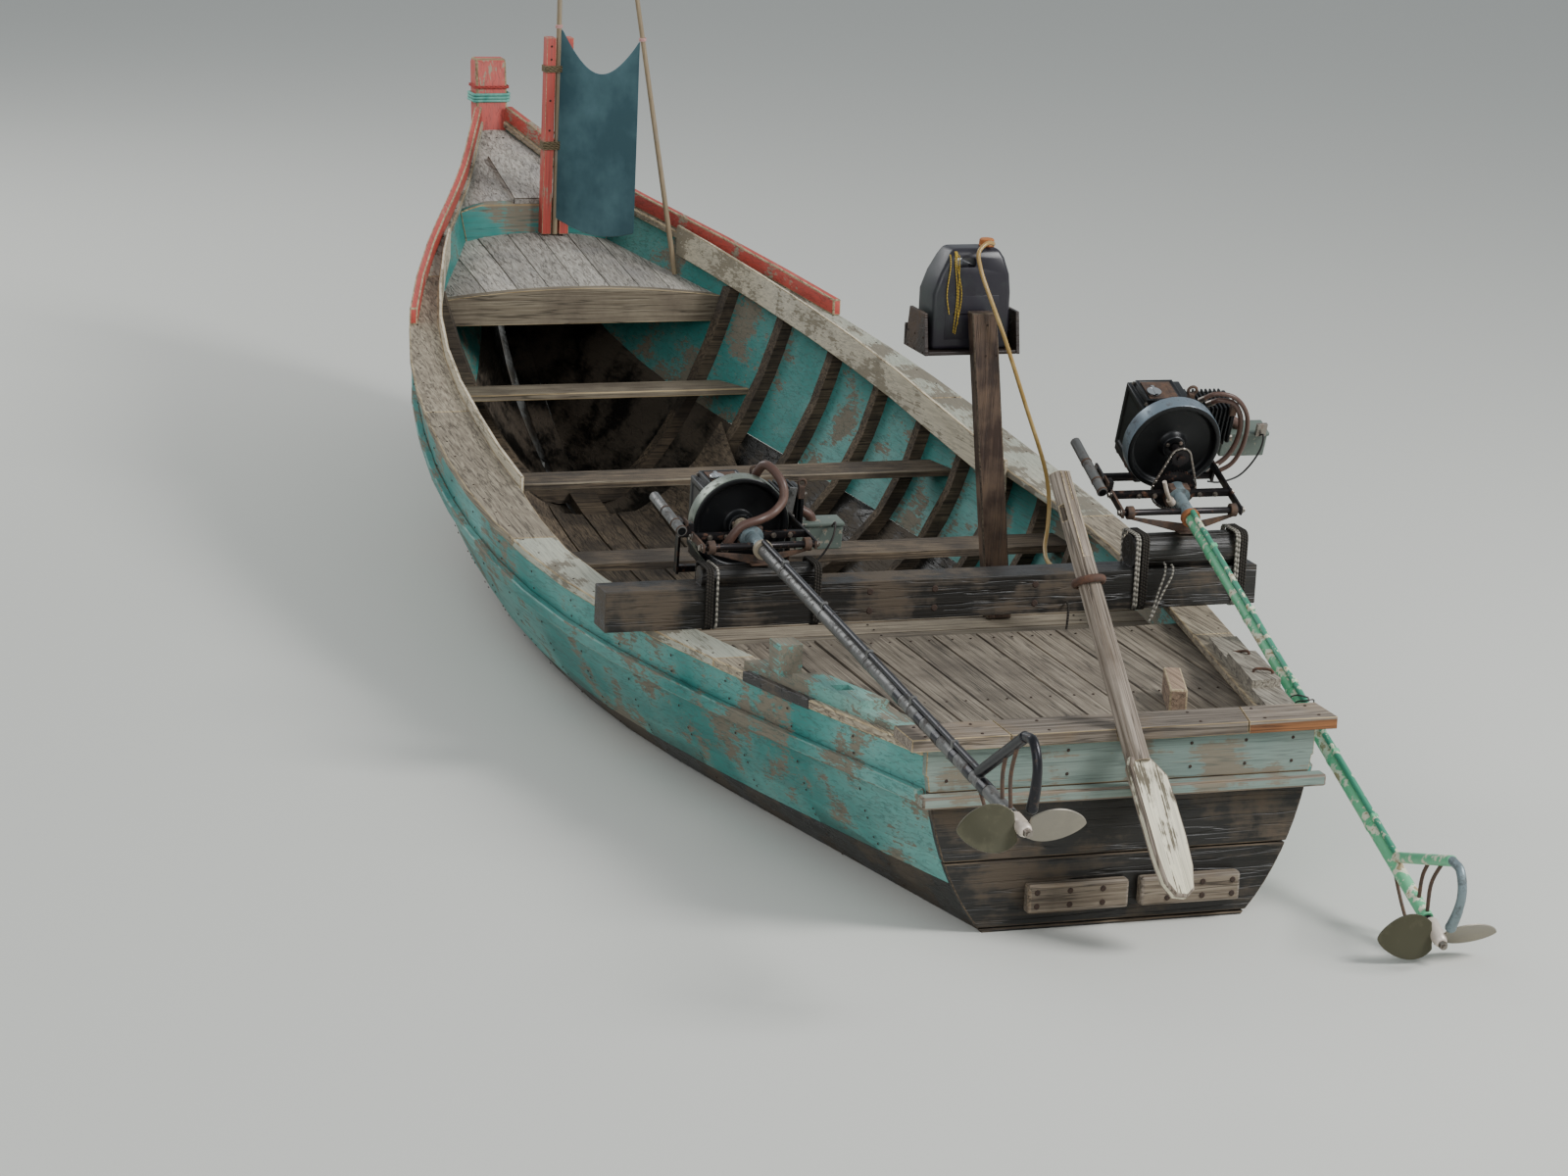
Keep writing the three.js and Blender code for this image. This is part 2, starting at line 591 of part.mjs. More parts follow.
const ribRoom = toSolid(hollow).subtract(toSolid(inside(RIB.deep, RIB_SHARES)));
const keelsonX = LOFT_X.filter((x) => x > KEELSON.from && x < KEELSON.to);
const keelsonLine = [KEELSON.from, ...keelsonX, KEELSON.to];
const floorAt = (x) => between(LOFT_X.map((px) => ({ x: px, z: line('keel', px) + line('floor', px) })),
  'z', x);
const keelson = loft(keelsonLine.map((x) => {
  const z = floorAt(x) + GAP + 0.4;
  return [[x, -KEELSON.half, z], [x, KEELSON.half, z], [x, KEELSON.half, z + KEELSON.high], [x,
    -KEELSON.half, z + KEELSON.high]];
}));
let frames = toSolid(keelson);
for (let i = 0; i < RIB.count; i += 1) {
  const x = RIB.first + i * RIB.pitch;
  let top = sheerAt(x) - CAP_THICK - 12;
  if (x > COAMING.from) top = sheerAt(x) - COAMING.below - 10;
  if (x < AFT_DECK.to) top = AFT_DECK.top - AFT_DECK.thick - GAP;
  else if (x > MID_DECK.from && x < MID_DECK.to) top = MID_DECK.top - MID_DECK.thick - GAP;
  const slice = box(x - RIB.wide / 2, x + RIB.wide / 2, -wide * 2, wide * 2, -500, top);
  frames = frames.add(ribRoom.intersect(toSolid(slice)));
}
add('ribs_and_keelson', fromSolid(frames), 0x5c5348, 0.9);

// Floor boards over the ribs, decks and thwarts

const soleLow = RIB.deep + 2 * GAP;
const ceiling = toSolid(inside(soleLow, RIB_SHARES)).subtract(toSolid(inside(soleLow + SOLE.thick,
  RIB_SHARES)));
const soleArea = box(SOLE.from, SOLE.to, -SOLE.half, SOLE.half, -500, 900);
add('floor_boards', fromSolid(ceiling.intersect(toSolid(soleArea))), 0x6e6456, 0.9);

function flatDeck(name, deck, colour) {
  const slab = box(deck.from, deck.to, -wide * 2, wide * 2, deck.top - deck.thick, deck.top);
  add(name, common(hollow, slab), colour, 0.9);
}

flatDeck('middle_deck', MID_DECK, 0x8a8070);
flatDeck('aft_deck', AFT_DECK, 0x8f8778);
THWARTS.forEach(({ name, x, top }) => {
  flatDeck(name, { from: x - THWART.wide / 2, to: x + THWART.wide / 2, top, thick: THWART.thick },
    0x8c7c64);
});

// Stepped blocks on the aft gunwales

SIDES.forEach(({ side, s }) => {
  const steps = QUARTER_STEPS.map(({ from, to, height }) => sideStrip(s, [from, to + 1], (x) => [
    [beamAt(x) - BLOCK_EDGE.inner, capTopAt(x) + GAP],
    [beamAt(x) - BLOCK_EDGE.outer, capTopAt(x) + GAP],
    [beamAt(x) - BLOCK_EDGE.outer, capTopAt(x) + height],
    [beamAt(x) - BLOCK_EDGE.inner, capTopAt(x) + height],
  ]));
  const middleAt = (x) => beamAt(x) - (BLOCK_EDGE.inner + BLOCK_EDGE.outer) / 2;
  let blocks = join(...steps);
  if (side === 'port') {
    const headAt = (TIMBER_HEAD.from + TIMBER_HEAD.to) / 2;
    const head = TIMBER_HEAD.wide / 2;
    const holeAt = (POST_HOLE.from + POST_HOLE.to) / 2;
    const hole = POST_HOLE.wide / 2;
    const step = QUARTER_STEPS.find(({ from, to }) => holeAt > from && holeAt < to);
    const top = capTopAt(holeAt) + step.height;
    blocks = cut(
      join(blocks, box(TIMBER_HEAD.from, TIMBER_HEAD.to, middleAt(headAt) - head, middleAt(headAt) + head,
        capTopAt(headAt) + QUARTER_STEPS[2].height / 2, capTopAt(headAt) + TIMBER_HEAD.height)),
      box(POST_HOLE.from, POST_HOLE.to, middleAt(holeAt) - hole, middleAt(holeAt) + hole,
        top - POST_HOLE.deep, top + POST_HOLE.deep),
    );
  }
  add(`quarter_block_${side}`, blocks, 0x93aaa2, 0.85);
});

// Crossbeam with its two logs, bored for the engine pins

const beamBottom = Math.max(capTopAt(BEAM.x - BEAM.thick / 2), capTopAt(BEAM.x + BEAM.thick / 2)) + GAP;
const beamTop = beamBottom + BEAM.high;
const logCentre = (radius) => beamTop + radius - LOG.sunk;
const beamBody = join(
  box(BEAM.x - BEAM.thick / 2, BEAM.x + BEAM.thick / 2, -BEAM.half, BEAM.half, beamBottom, beamTop),
  ...ENGINES.map(({ pivot, log }) => bar([BEAM.x, pivot[1] - LOG.half, logCentre(log)],
    [BEAM.x, pivot[1] + LOG.half, logCentre(log)], log, 24)),
  bar([BEAM.x + BEAM.thick / 2 - 8, HOSE_SPIGOT.y, HOSE_SPIGOT.z],
    [BEAM.x + BEAM.thick / 2 + HOSE_SPIGOT.out, HOSE_SPIGOT.y, HOSE_SPIGOT.z], HOSE_SPIGOT.radius, 12),
);
const pinHoles = ENGINES.map(({ pivot, log }) => {
  const top = logCentre(log) + log;
  return bar([BEAM.x, pivot[1], top - LOG.pinDepth], [BEAM.x, pivot[1], top + 40], LOG.pinHole, 20);
});
add('crossbeam', cut(beamBody, ...pinHoles), 0x1b1917, 0.8);

// Mast posts, poles and cloth

const lowerTop = (x, y) => lowerEdge(x) + LOWER_DECK.crown * (1 - (y / beamAt(x)) ** 2);
const seatOn = (x, y, reach, lean) => lowerTop(x + reach, Math.max(0,
  Math.abs(y) - reach)) + reach * lean + GAP;
const mastFoot = seatOn(MAST.x, MAST.gap / 2, MAST.deep / 2, 0);
const mastPosts = SIDES.map(({ s }) => {
  const near = MAST.y + (s * MAST.gap) / 2;
  const far = near + s * MAST.wide;
  return box(MAST.x - MAST.deep / 2, MAST.x + MAST.deep / 2, Math.min(near, far), Math.max(near, far),
    mastFoot, MAST.top);
});
const bolts = [mastFoot + 60, 1700, MAST.top - 90].map((z) => bar(
  [MAST.x + MAST.boltX, MAST.y - MAST.gap / 2 - 5, z], [MAST.x + MAST.boltX, MAST.y + MAST.gap / 2 + 5,
    z], MAST.bolt, 10));
add('mast_posts', join(...mastPosts, ...bolts), 0xc2503f, 0.75);
const poleFoot = (pole) => seatOn(pole.x, pole.foot, pole.radius, (pole.head - pole.foot) / pole.top);
add('mast_pole', bar([MAST_POLE.x, MAST_POLE.foot, poleFoot(MAST_POLE)], [MAST_POLE.x, MAST_POLE.head,
  MAST_POLE.top],
  MAST_POLE.radius, 12), 0x8a7a64, 0.7);
add('cloth_pole', bar([CLOTH_POLE.x, CLOTH_POLE.foot, poleFoot(CLOTH_POLE)], [CLOTH_POLE.x,
  CLOTH_POLE.head, CLOTH_POLE.top],
  CLOTH_POLE.radius, 12), 0x9a8668, 0.7);

const poleAt = (pole, z) => between([{ x: poleFoot(pole), y: pole.foot }, { x: pole.top,
  y: pole.head }], 'y', z);
const clothFrom = new THREE.Vector2(MAST_POLE.x, poleAt(MAST_POLE, CLOTH.top));
const clothTo = new THREE.Vector2(CLOTH_POLE.x, poleAt(CLOTH_POLE, CLOTH.top));
const clothRun = clothTo.clone().sub(clothFrom);
const clothStart = MAST_POLE.radius + 2 * GAP;
const clothLong = clothRun.length() - clothStart - CLOTH_POLE.radius - 2 * GAP;
const clothShape = new THREE.Shape();
clothShape.moveTo(0, CLOTH.top);
clothShape.quadraticCurveTo(clothLong / 2, CLOTH.top - 2 * CLOTH.sag, clothLong, CLOTH.top);
clothShape.quadraticCurveTo(clothLong * 1.0, 1800, clothLong * 0.96, CLOTH.bottom + 90);
clothShape.quadraticCurveTo(clothLong * 0.6, CLOTH.bottom - 60, clothLong * 0.18, CLOTH.bottom + 60);
clothShape.quadraticCurveTo(clothLong * 0.02, 1800, 0, CLOTH.top);
const cloth = new THREE.ExtrudeGeometry(clothShape, { depth: CLOTH.thick, bevelEnabled: false,
  curveSegments: 8 });
cloth.rotateX(Math.PI / 2).translate(clothStart, CLOTH.thick / 2, 0).rotateZ(clothRun.angle());
cloth.translate(clothFrom.x, clothFrom.y, 0);
add('hung_cloth', cloth, 0x2f5f6a, 0.95);

// Fuel stand and can

const deckTop = MID_DECK.top + GAP;
const trayZ = FUEL.top;
const trayAft = FUEL.x - FUEL.long / 2;
const trayFore = FUEL.x + FUEL.long / 2;
const trayHalf = FUEL.wide / 2;
const stand = join(
  plateYZ([
    [FUEL_POST.footY - FUEL_POST.half, deckTop],
    [FUEL_POST.footY + FUEL_POST.half, deckTop],
    [FUEL_POST.headY + FUEL_POST.half, FUEL_POST.head],
    [FUEL_POST.headY - FUEL_POST.half, FUEL_POST.head],
  ], FUEL_POST.from, FUEL_POST.to),
  box(FUEL_POST.to - 4, trayFore, FUEL.y - trayHalf, FUEL.y + trayHalf, trayZ, trayZ + FUEL.wall),
  box(trayFore - FUEL.wall, trayFore, FUEL.y - trayHalf, FUEL.y + trayHalf, trayZ, trayZ + FUEL.fore),
  ...SIDES.map(({ s }) => box(trayAft, trayFore, FUEL.y + s * trayHalf - (s > 0 ? FUEL.wall : 0),
    FUEL.y + s * trayHalf + (s > 0 ? 0 : FUEL.wall), trayZ, trayZ + FUEL.high)),
);
add('fuel_stand', stand, 0x3a302a, 0.85);
const canShape = new THREE.Shape();
const canHalf = CAN.wide / 2;
canShape.moveTo(-canHalf + CAN.bevel, 0);
canShape.lineTo(canHalf - CAN.bevel, 0);
canShape.quadraticCurveTo(canHalf, 0, canHalf, CAN.bevel);
canShape.lineTo(canHalf, CAN.tall - CAN.portShoulder[1]);
canShape.quadraticCurveTo(canHalf - 8, CAN.tall - 12, canHalf - CAN.portShoulder[0], CAN.tall);
canShape.lineTo(-canHalf + CAN.starboardShoulder[0], CAN.tall);
canShape.quadraticCurveTo(-canHalf + 12, CAN.tall - 8, -canHalf, CAN.tall - CAN.starboardShoulder[1]);
canShape.lineTo(-canHalf, CAN.bevel);
canShape.quadraticCurveTo(-canHalf, 0, -canHalf + CAN.bevel, 0);
const can = new THREE.ExtrudeGeometry(canShape, { depth: CAN.long, bevelEnabled: false,
  curveSegments: 4 });
can.rotateX(Math.PI / 2).rotateZ(Math.PI / 2).translate(FUEL.x - CAN.long / 2, FUEL.y,
  trayZ + FUEL.wall + GAP);
const canTop = trayZ + FUEL.wall + GAP + CAN.tall;
const canCap = bar([FUEL.x, FUEL.y + CAN.capY, canTop - 10], [FUEL.x, FUEL.y + CAN.capY,
  canTop + CAN.cap], CAN.cap, 16);
const spigotZ = canTop + CAN.spigotUp;
const spigotEnd = FUEL.x - CAN.spigotOut;
const spigot = bar([FUEL.x, FUEL.y + CAN.capY, spigotZ], [spigotEnd, FUEL.y + CAN.capY, spigotZ],
  CAN.spigot, 10);
add('fuel_can', join(can, canCap, spigot), 0x1e2622, 0.5);
const beamSpigotEnd = BEAM.x + BEAM.thick / 2 + HOSE_SPIGOT.out;
const hoseRoute = [
  [spigotEnd - 2 * GAP, FUEL.y + CAN.capY, spigotZ],
  [spigotEnd - 30, FUEL.y + CAN.capY, spigotZ],
  ...HOSE,
  [beamSpigotEnd + 30, HOSE_SPIGOT.y, HOSE_SPIGOT.z],
  [beamSpigotEnd + 2 * GAP, HOSE_SPIGOT.y, HOSE_SPIGOT.z],
];
add('fuel_hose', bentBar(hoseRoute, HOSE_RADIUS, 60), 0xa88850, 0.6);

// Rudder, drawn upright about its axis and then laid on it

const rudder = new THREE.Group();
const blade = new THREE.Shape();
const bladeTip = -RUDDER.bladeTop - RUDDER.bladeLong;
blade.moveTo(-34, -RUDDER.bladeTop);
blade.lineTo(-70, -RUDDER.bladeTop - 60);
blade.lineTo(-62, bladeTip + 170);
blade.quadraticCurveTo(-30, bladeTip, 52, bladeTip);
blade.quadraticCurveTo(132, bladeTip + 40, 142, bladeTip + 230);
blade.lineTo(128, -RUDDER.bladeTop - 90);
blade.lineTo(34, -RUDDER.bladeTop);
const bladeSlab = new THREE.ExtrudeGeometry(blade, { depth: 40, bevelEnabled: false, curveSegments: 6 });
bladeSlab.translate(0, 0, -20).rotateX(Math.PI / 2);
const rudderLong = rudderHead.distanceTo(rudderFoot);
const stock = bar([0, 0, -90], [0, 0, rudderLong], RUDDER.stock, 16, 38);
const tillerHole = box(-80, 80, -13, 13, rudderLong - 190, rudderLong - 128);
const ring = bar([0, 0, rudderLong - 430], [0, 0, rudderLong - 402], 62, 20);
const rudderBody = cut(join(stock, bladeSlab, ring), tillerHole);
const rudderMesh = add('rudder', rudderBody, 0x9d9077, 0.85, 0, rudder);
rudderMesh.rotation.z = THREE.MathUtils.degToRad(RUDDER_TURN);
rudder.quaternion.setFromUnitVectors(new THREE.Vector3(0, 0, 1), rudderUp);
rudder.position.copy(rudderFoot);
boat.add(rudder);

// Engines: each swivels on its log, tilts on its axle, and turns a propeller through its tail

function buildEngine({ side, pivot, slope, swing, crank, tail, log, frame }) {
  const swivel = new THREE.Group();
  swivel.position.set(...pivot);
  swivel.rotation.z = -THREE.MathUtils.degToRad(swing);
  boat.add(swivel);
  const tilted = new THREE.Group();
  tilted.rotation.y = -THREE.MathUtils.degToRad(slope);
  swivel.add(tilted);
  const [left, right] = frame;

  // Yoke with its pin, plate, two arms and the eyes that carry the axle

  const plateLow = logCentre(log) + log - pivot[2] + GAP;
  const armFoot = plateLow + YOKE.plateThick + YOKE.armHigh / 2 - 8;
  const eyes = [left - YOKE.inset, right + YOKE.inset];
  const arms = eyes.map((y) => {
    const outline = [
      [Math.sign(y) * -12, armFoot - YOKE.armHigh / 2],
      [Math.sign(y) * 36, armFoot - YOKE.armHigh / 2],
      [y + Math.sign(y) * 10, -YOKE.eye + 4],
      [y + Math.sign(y) * 10, 4 - YOKE.hole - 8],
      [y - Math.sign(y) * 12, 4 - YOKE.hole - 8],
      [Math.sign(y) * -12, armFoot + YOKE.armHigh / 2],
    ];
    return plateYZ(y > 0 ? outline : outline.reverse(), -YOKE.armThick / 2, YOKE.armThick / 2);
  });
  const rings = eyes.map((y) => bar([0, y - YOKE.eyeHalf, 0], [0, y + YOKE.eyeHalf, 0], YOKE.eye, 20));
  const holes = eyes.map((y) => bar([0, y - 40, 0], [0, y + 40, 0], YOKE.hole, 16));
  const yokeBody = cut(join(
    box(-YOKE.plateHalf, YOKE.plateHalf, -YOKE.plateHalf, YOKE.plateHalf, plateLow,
      plateLow + YOKE.plateThick),
    bar([0, 0, plateLow - LOG.pinDepth + 6], [0, 0, plateLow + 2], YOKE.pin, 16),
    ...arms,
    ...rings,
  ), ...holes);
  add(`yoke_${side}`, yokeBody, 0x8a5a3c, 0.8, 0.4, swivel);

  // Frame with axle, front stub of the tail, side bars, cross bars, engine rails and the handle

  const railTop = crank - BLOCK.down - GAP;
  const railMiddle = railTop - RAIL_BAR.high / 2;
  const half = FRAME_BAR.wide / 2;
  const high = FRAME_BAR.high / 2;
  const sideBars = [left, right].flatMap((y) => [
    box(-16, FRAME_BAR.foreCross + half, y - half, y + half, -high, high),
    box(FRAME_BAR.foreCross - 2 * high, FRAME_BAR.foreCross + half, y - half, y + half, railMiddle - 13,
      high),
  ]);
  const cross = FRAME_BAR.cross / 2;
  const rails = [BLOCK.rail, -BLOCK.rail].map((y) => box(FRAME_BAR.foreCross - cross, RAIL_BAR.to,
    y - RAIL_BAR.wide / 2, y + RAIL_BAR.wide / 2, railTop - RAIL_BAR.high, railTop));
  const handleY = left + HANDLE.out;
  const handle = bar([HANDLE.from, handleY, HANDLE.up], [HANDLE.to, handleY + HANDLE.splay,
    HANDLE.up * 2], HANDLE.radius, 12);
  const bracket = box(HANDLE.bracket, HANDLE.bracket + 36, left - half, handleY - 8, -6, HANDLE.up + 12);
  add(`engine_frame_${side}`, join(
    bar([0, right - 12, 0], [0, left + 12, 0], AXLE, 16),
    bar([STUB.aft, 0, 0], [STUB.fore, 0, 0], STUB.radius, 16),
    bar([STUB.housingFrom, 0, 0], [STUB.fore, 0, 0], STUB.housing, 20),
    box(FRAME_BAR.aftCross - cross, FRAME_BAR.aftCross + cross, right, left, -cross, cross),
    box(FRAME_BAR.foreCross - cross, FRAME_BAR.foreCross + cross, right, left, railMiddle - cross,
      railMiddle + cross),
    ...sideBars,
    ...rails,
    handle,
    bracket,
  ), 0x2c2623, 0.6, 0.5, tilted);

  // Engine: crankcase, coolant hopper, barrel to starboard and the intake box beyond it

  const crankcase = box(BLOCK.from, BLOCK.to, BLOCK.starboard, BLOCK.port, crank - BLOCK.down,
    crank + BLOCK.up);
  add(`engine_${side}`, join(
    crankcase,
    box(HOPPER.from, HOPPER.to, HOPPER.starboard, HOPPER.port, crank + BLOCK.up - 4, crank + HOPPER.up),
    box(BARREL.from, BARREL.to, BARREL.out, BLOCK.starboard + 4, crank - BARREL.half,
      crank + BARREL.half),
    box(INTAKE.from, INTAKE.to, INTAKE.out, INTAKE.near, crank + INTAKE.low, crank + INTAKE.high),
    bar([INTAKE.pipeX, INTAKE.pipeY[0], crank + INTAKE.high - 4], [INTAKE.pipeX, INTAKE.pipeY[1],
      crank], INTAKE.pipe, 12),
  ), 0x1a1b1d, 0.6, 0.5, tilted);

  // Flywheel on the crank, with a sprocket or a straight shaft on its after side

  const wheelEnd = FLYWHEEL.from + FLYWHEEL.thick;
  const webFrom = FLYWHEEL.from + (FLYWHEEL.thick - FLYWHEEL.web) / 2;
  const inner = FLYWHEEL.radius - FLYWHEEL.rim;
  const wheelProfile = [
    [0, webFrom - 26],
    [FLYWHEEL.hub, webFrom - 26],
    [FLYWHEEL.hub, webFrom],
    [inner, webFrom],
    [inner, FLYWHEEL.from],
    [FLYWHEEL.radius, FLYWHEEL.from],
    [FLYWHEEL.radius, wheelEnd],
    [inner, wheelEnd],
    [inner, webFrom + FLYWHEEL.web],
    [FLYWHEEL.hub, webFrom + FLYWHEEL.web],
    [FLYWHEEL.hub, BLOCK.from - RUN_GAP],
    [0, BLOCK.from - RUN_GAP],
  ];
  const wheel = [turned(wheelProfile, 48)];
  const sprocketTo = SPROCKET.x + SPROCKET.thick / 2;
  const sprocketFrom = SPROCKET.x - SPROCKET.thick / 2;
  if (crank > 0) {
    wheel.push(bar([sprocketFrom - 8, 0, 0], [webFrom, 0, 0], FLYWHEEL.shaft, 16));
    wheel.push(bar([sprocketFrom, 0, 0], [sprocketTo, 0, 0], SPROCKET.upper, 24));
    const shaft = bar([STUB.fore + RUN_GAP, 0, 0], [sprocketTo + 14, 0, 0], FLYWHEEL.shaft, 16);
    const lower = bar([sprocketFrom, 0, 0], [sprocketTo, 0, 0], SPROCKET.lower, 32);
    add(`drive_sprocket_${side}`, join(shaft, lower), 0x1c1d1c, 0.6, 0.6, tilted);
    add(`drive_chain_${side}`, chainLoop(crank), 0x2a2824, 0.6, 0.6, tilted);
  } else {
    wheel.push(bar([STUB.fore + RUN_GAP, 0, 0], [webFrom, 0, 0], FLYWHEEL.shaft + 8, 16));
  }
  const flywheel = add(`flywheel_${side}`, join(...wheel), 0x15171a, 0.5, 0.6, tilted);
  flywheel.position.z = crank;

  // Tail tube with its collar, the parallel pipe and the guard over the propeller; the skeg rod below it

  const from = STUB.aft - GAP;
  const end = -(tail - TUBE.end);
  const guardFoot = -(tail - 432);
  const guardBar = bar([guardFoot, 0, TUBE.pipeUp - 8], [-(tail - 53), 0, 312], GUARD.bar, 12);
  const guardBow = bentBar([
    [-(tail - 60), 0, 310],
    [-(tail + 12), 0, 324],
    [-(tail + 74), 0, 244],
    [-(tail + 72), 0, 156],
    [-(tail + 58), 0, 92],
  ], GUARD.bow, 14, 10);
  const rods = [
    { top: [200, 172], middle: [222, 110], foot: [203, 12] },
    { top: [109, 236], middle: [150, 130], foot: [122, 14] },
  ].map(({ top, middle, foot }) => bentBar([
    [-(tail - top[0]), 0, top[1] + 34],
    [-(tail - middle[0]), 0, middle[1]],
    [-(tail - foot[0]), 0, foot[1]],
  ], GUARD.rod, 6));
  const skeg = bentBar([
    [-(tail - 430), 0, -TUBE.radius + 6],
    [-(tail - 300), 0, -96],
    [-(tail - 196), 0, -132],
    [-(tail - 150), 0, -104],
    [-(tail - 168), 0, -TUBE.radius + 6],
  ], GUARD.rod - 1, 12);
  const tubeRoom = bar([end - 20, 0, 0], [from, 0, 0], TUBE.radius + GAP, 16);
  add(`tail_${side}`, join(
    bar([end, 0, 0], [from, 0, 0], TUBE.radius, 16),
    bar([from - 26, 0, 0], [from, 0, 0], TUBE.collar, 20),
    bar([guardFoot - 10, 0, TUBE.pipeUp], [from - 20, 0, TUBE.pipeUp - 6], TUBE.pipe, 10),
    guardBar,
    guardBow,
    ...rods,
  ), 0x4fae84, 0.6, 0.2, tilted);
  add(`skeg_${side}`, cut(skeg, tubeRoom), 0x4fae84, 0.6, 0.2, tilted);

  // Propeller: hub, nut and two twisted blades

  const hubFrom = -(tail - PROP.hubLong);
  const propeller = [
    turned([[0, -tail - 60], [PROP.nut, -tail - 60], [PROP.nut, -tail - 34], [PROP.hub - 6, -tail - 26],
      [PROP.hub, hubFrom], [0, hubFrom]], 20),
    bar([hubFrom - 2, 0, 0], [end - RUN_GAP, 0, 0], FLYWHEEL.shaft, 12),
    ...SIDES.map(({ s }) => propellerBlade(s).translate(PROP.bladeAt - tail, 0, 0)),
  ];
  add(`propeller_${side}`, join(...propeller), 0x8e8a80, 0.5, 0.7, tilted);
}

// One blade, an oval plate turned by its pitch, along plus or minus Y

function propellerBlade(s) {
  const outline = new THREE.Shape();
  const middle = PROP.radius * 0.6;
  outline.moveTo(0, -18);
  outline.bezierCurveTo(middle * 0.5, -34, middle * 0.7, -PROP.blade * 0.62, middle + 30,
    -PROP.blade * 0.5);
  outline.bezierCurveTo(PROP.radius, -PROP.blade * 0.36, PROP.radius, PROP.blade * 0.36, middle + 30,
    PROP.blade * 0.5);
  outline.bezierCurveTo(middle * 0.7, PROP.blade * 0.62, middle * 0.5, 34, 0, 18);
  const plate = new THREE.ExtrudeGeometry(outline, { depth: PROP.thick, bevelEnabled: false,
    curveSegments: 8 });
  plate.translate(0, 0, -PROP.thick / 2);
  plate.rotateX(Math.PI / 2 - THREE.MathUtils.degToRad(PROP.pitch));
  return plate.rotateZ((s * Math.PI) / 2);
}

// Chain around the two sprockets, a flat band along their outer tangents

function chainLoop(crank) {
  const band = (extra) => {
    const low = SPROCKET.lower + SPROCKET.clear + extra;
    const up = SPROCKET.upper + SPROCKET.clear + extra;
    const lean = Math.asin((low - up) / crank);
    const outline = [];
    for (let k = 0; k <= 10; k += 1) {
      const a = lean + ((Math.PI - 2 * lean) * k) / 10;
      outline.push([up * Math.cos(a), crank + up * Math.sin(a)]);
    }
    for (let k = 0; k <= 20; k += 1) {
      const a = Math.PI - lean + ((Math.PI + 2 * lean) * k) / 20;
      outline.push([low * Math.cos(a), low * Math.sin(a)]);
    }
    return outline;
  };
  const from = SPROCKET.x - SPROCKET.thick / 2;
  const to = SPROCKET.x + SPROCKET.thick / 2;
  return cut(plateYZ(band(SPROCKET.chain), from, to), plateYZ(band(0), from - 5, to + 5));
}

ENGINES.forEach(buildEngine);

export default boat;
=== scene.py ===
import math
import random
import bpy
from mathutils import Matrix, Vector
from mathutils.bvhtree import BVHTree
from mathutils.kdtree import KDTree


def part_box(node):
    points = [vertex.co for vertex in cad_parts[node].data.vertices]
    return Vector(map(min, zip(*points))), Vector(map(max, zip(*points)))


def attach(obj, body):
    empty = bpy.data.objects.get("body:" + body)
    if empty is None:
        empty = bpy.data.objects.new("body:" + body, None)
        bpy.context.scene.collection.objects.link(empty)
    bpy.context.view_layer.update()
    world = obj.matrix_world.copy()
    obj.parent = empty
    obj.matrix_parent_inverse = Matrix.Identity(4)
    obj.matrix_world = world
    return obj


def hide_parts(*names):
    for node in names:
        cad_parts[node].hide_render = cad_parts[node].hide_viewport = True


bl_info = {
    "name": "Longtail boat",
    "version": (1, 0, 0),
    "blender": (4, 5, 0),
    "location": "View3D > Sidebar > Longtail boat",
    "description": "Dresses the packed longtail boat with planks, paint, rope, cloth and engine detail",
    "category": "Object",
}

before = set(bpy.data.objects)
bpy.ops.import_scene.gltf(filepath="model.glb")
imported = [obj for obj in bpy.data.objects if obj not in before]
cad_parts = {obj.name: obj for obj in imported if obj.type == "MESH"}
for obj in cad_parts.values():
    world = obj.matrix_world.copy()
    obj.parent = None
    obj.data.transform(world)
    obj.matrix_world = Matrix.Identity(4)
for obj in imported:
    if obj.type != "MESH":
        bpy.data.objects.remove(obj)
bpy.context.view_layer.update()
CHANCE = random.Random(11)


X, Y, UP, AFT = (1, 0, 0), (0, 1, 0), (0, 0, 1), (-1, 0, 0)


# Colours and small sums

def linear(code):
    """Linear colour of an sRGB hex code."""
    parts = [int(code[i:i + 2], 16) / 255 for i in (1, 3, 5)]
    return tuple(p / 12.92 if p <= 0.04045 else ((p + 0.055) / 1.055) ** 2.4 for p in parts)


def paint(label, code, words):
    """A colour property that a user can change."""
    return bpy.props.FloatVectorProperty(name=label, description=words, subtype="COLOR", size=3, min=0,
        max=1, default=linear(code))


def length(label, metres, words):
    """A size property in metres that a user can change."""
    return bpy.props.FloatProperty(name=label, description=words, default=metres, min=0.0,
        soft_max=1.0, precision=4, subtype="DISTANCE")


class LongtailPaint(bpy.types.PropertyGroup):
    teal: paint("Teal paint", "#2B817A", "Faded paint of the side planks")
    teal_light: paint("Chalked teal", "#6FA8A0", "Where the teal paint has chalked")
    red: paint("Red paint", "#BC4A3F", "Paint of the stem, the wash rails and the mast posts")
    cream: paint("Cream paint", "#D8CDB4", "Paint of the coamings and the rudder blade")
    bare_wood: paint("Weathered wood", "#ADA28C", "Bare planks greyed by the sun")
    dark_grain: paint("Dark grain", "#6E6253", "Grain and cracks of the bare planks")
    tar: paint("Tar", "#171512", "Tar brushed over the bottom and the crossbeam")
    tube_green: paint("Tube green", "#4AA878", "Paint of the starboard tail")
    rust: paint("Rust", "#8A4B22", "Rust on iron and steel")
    cloth: paint("Cloth", "#2C5862", "Hung cloth")


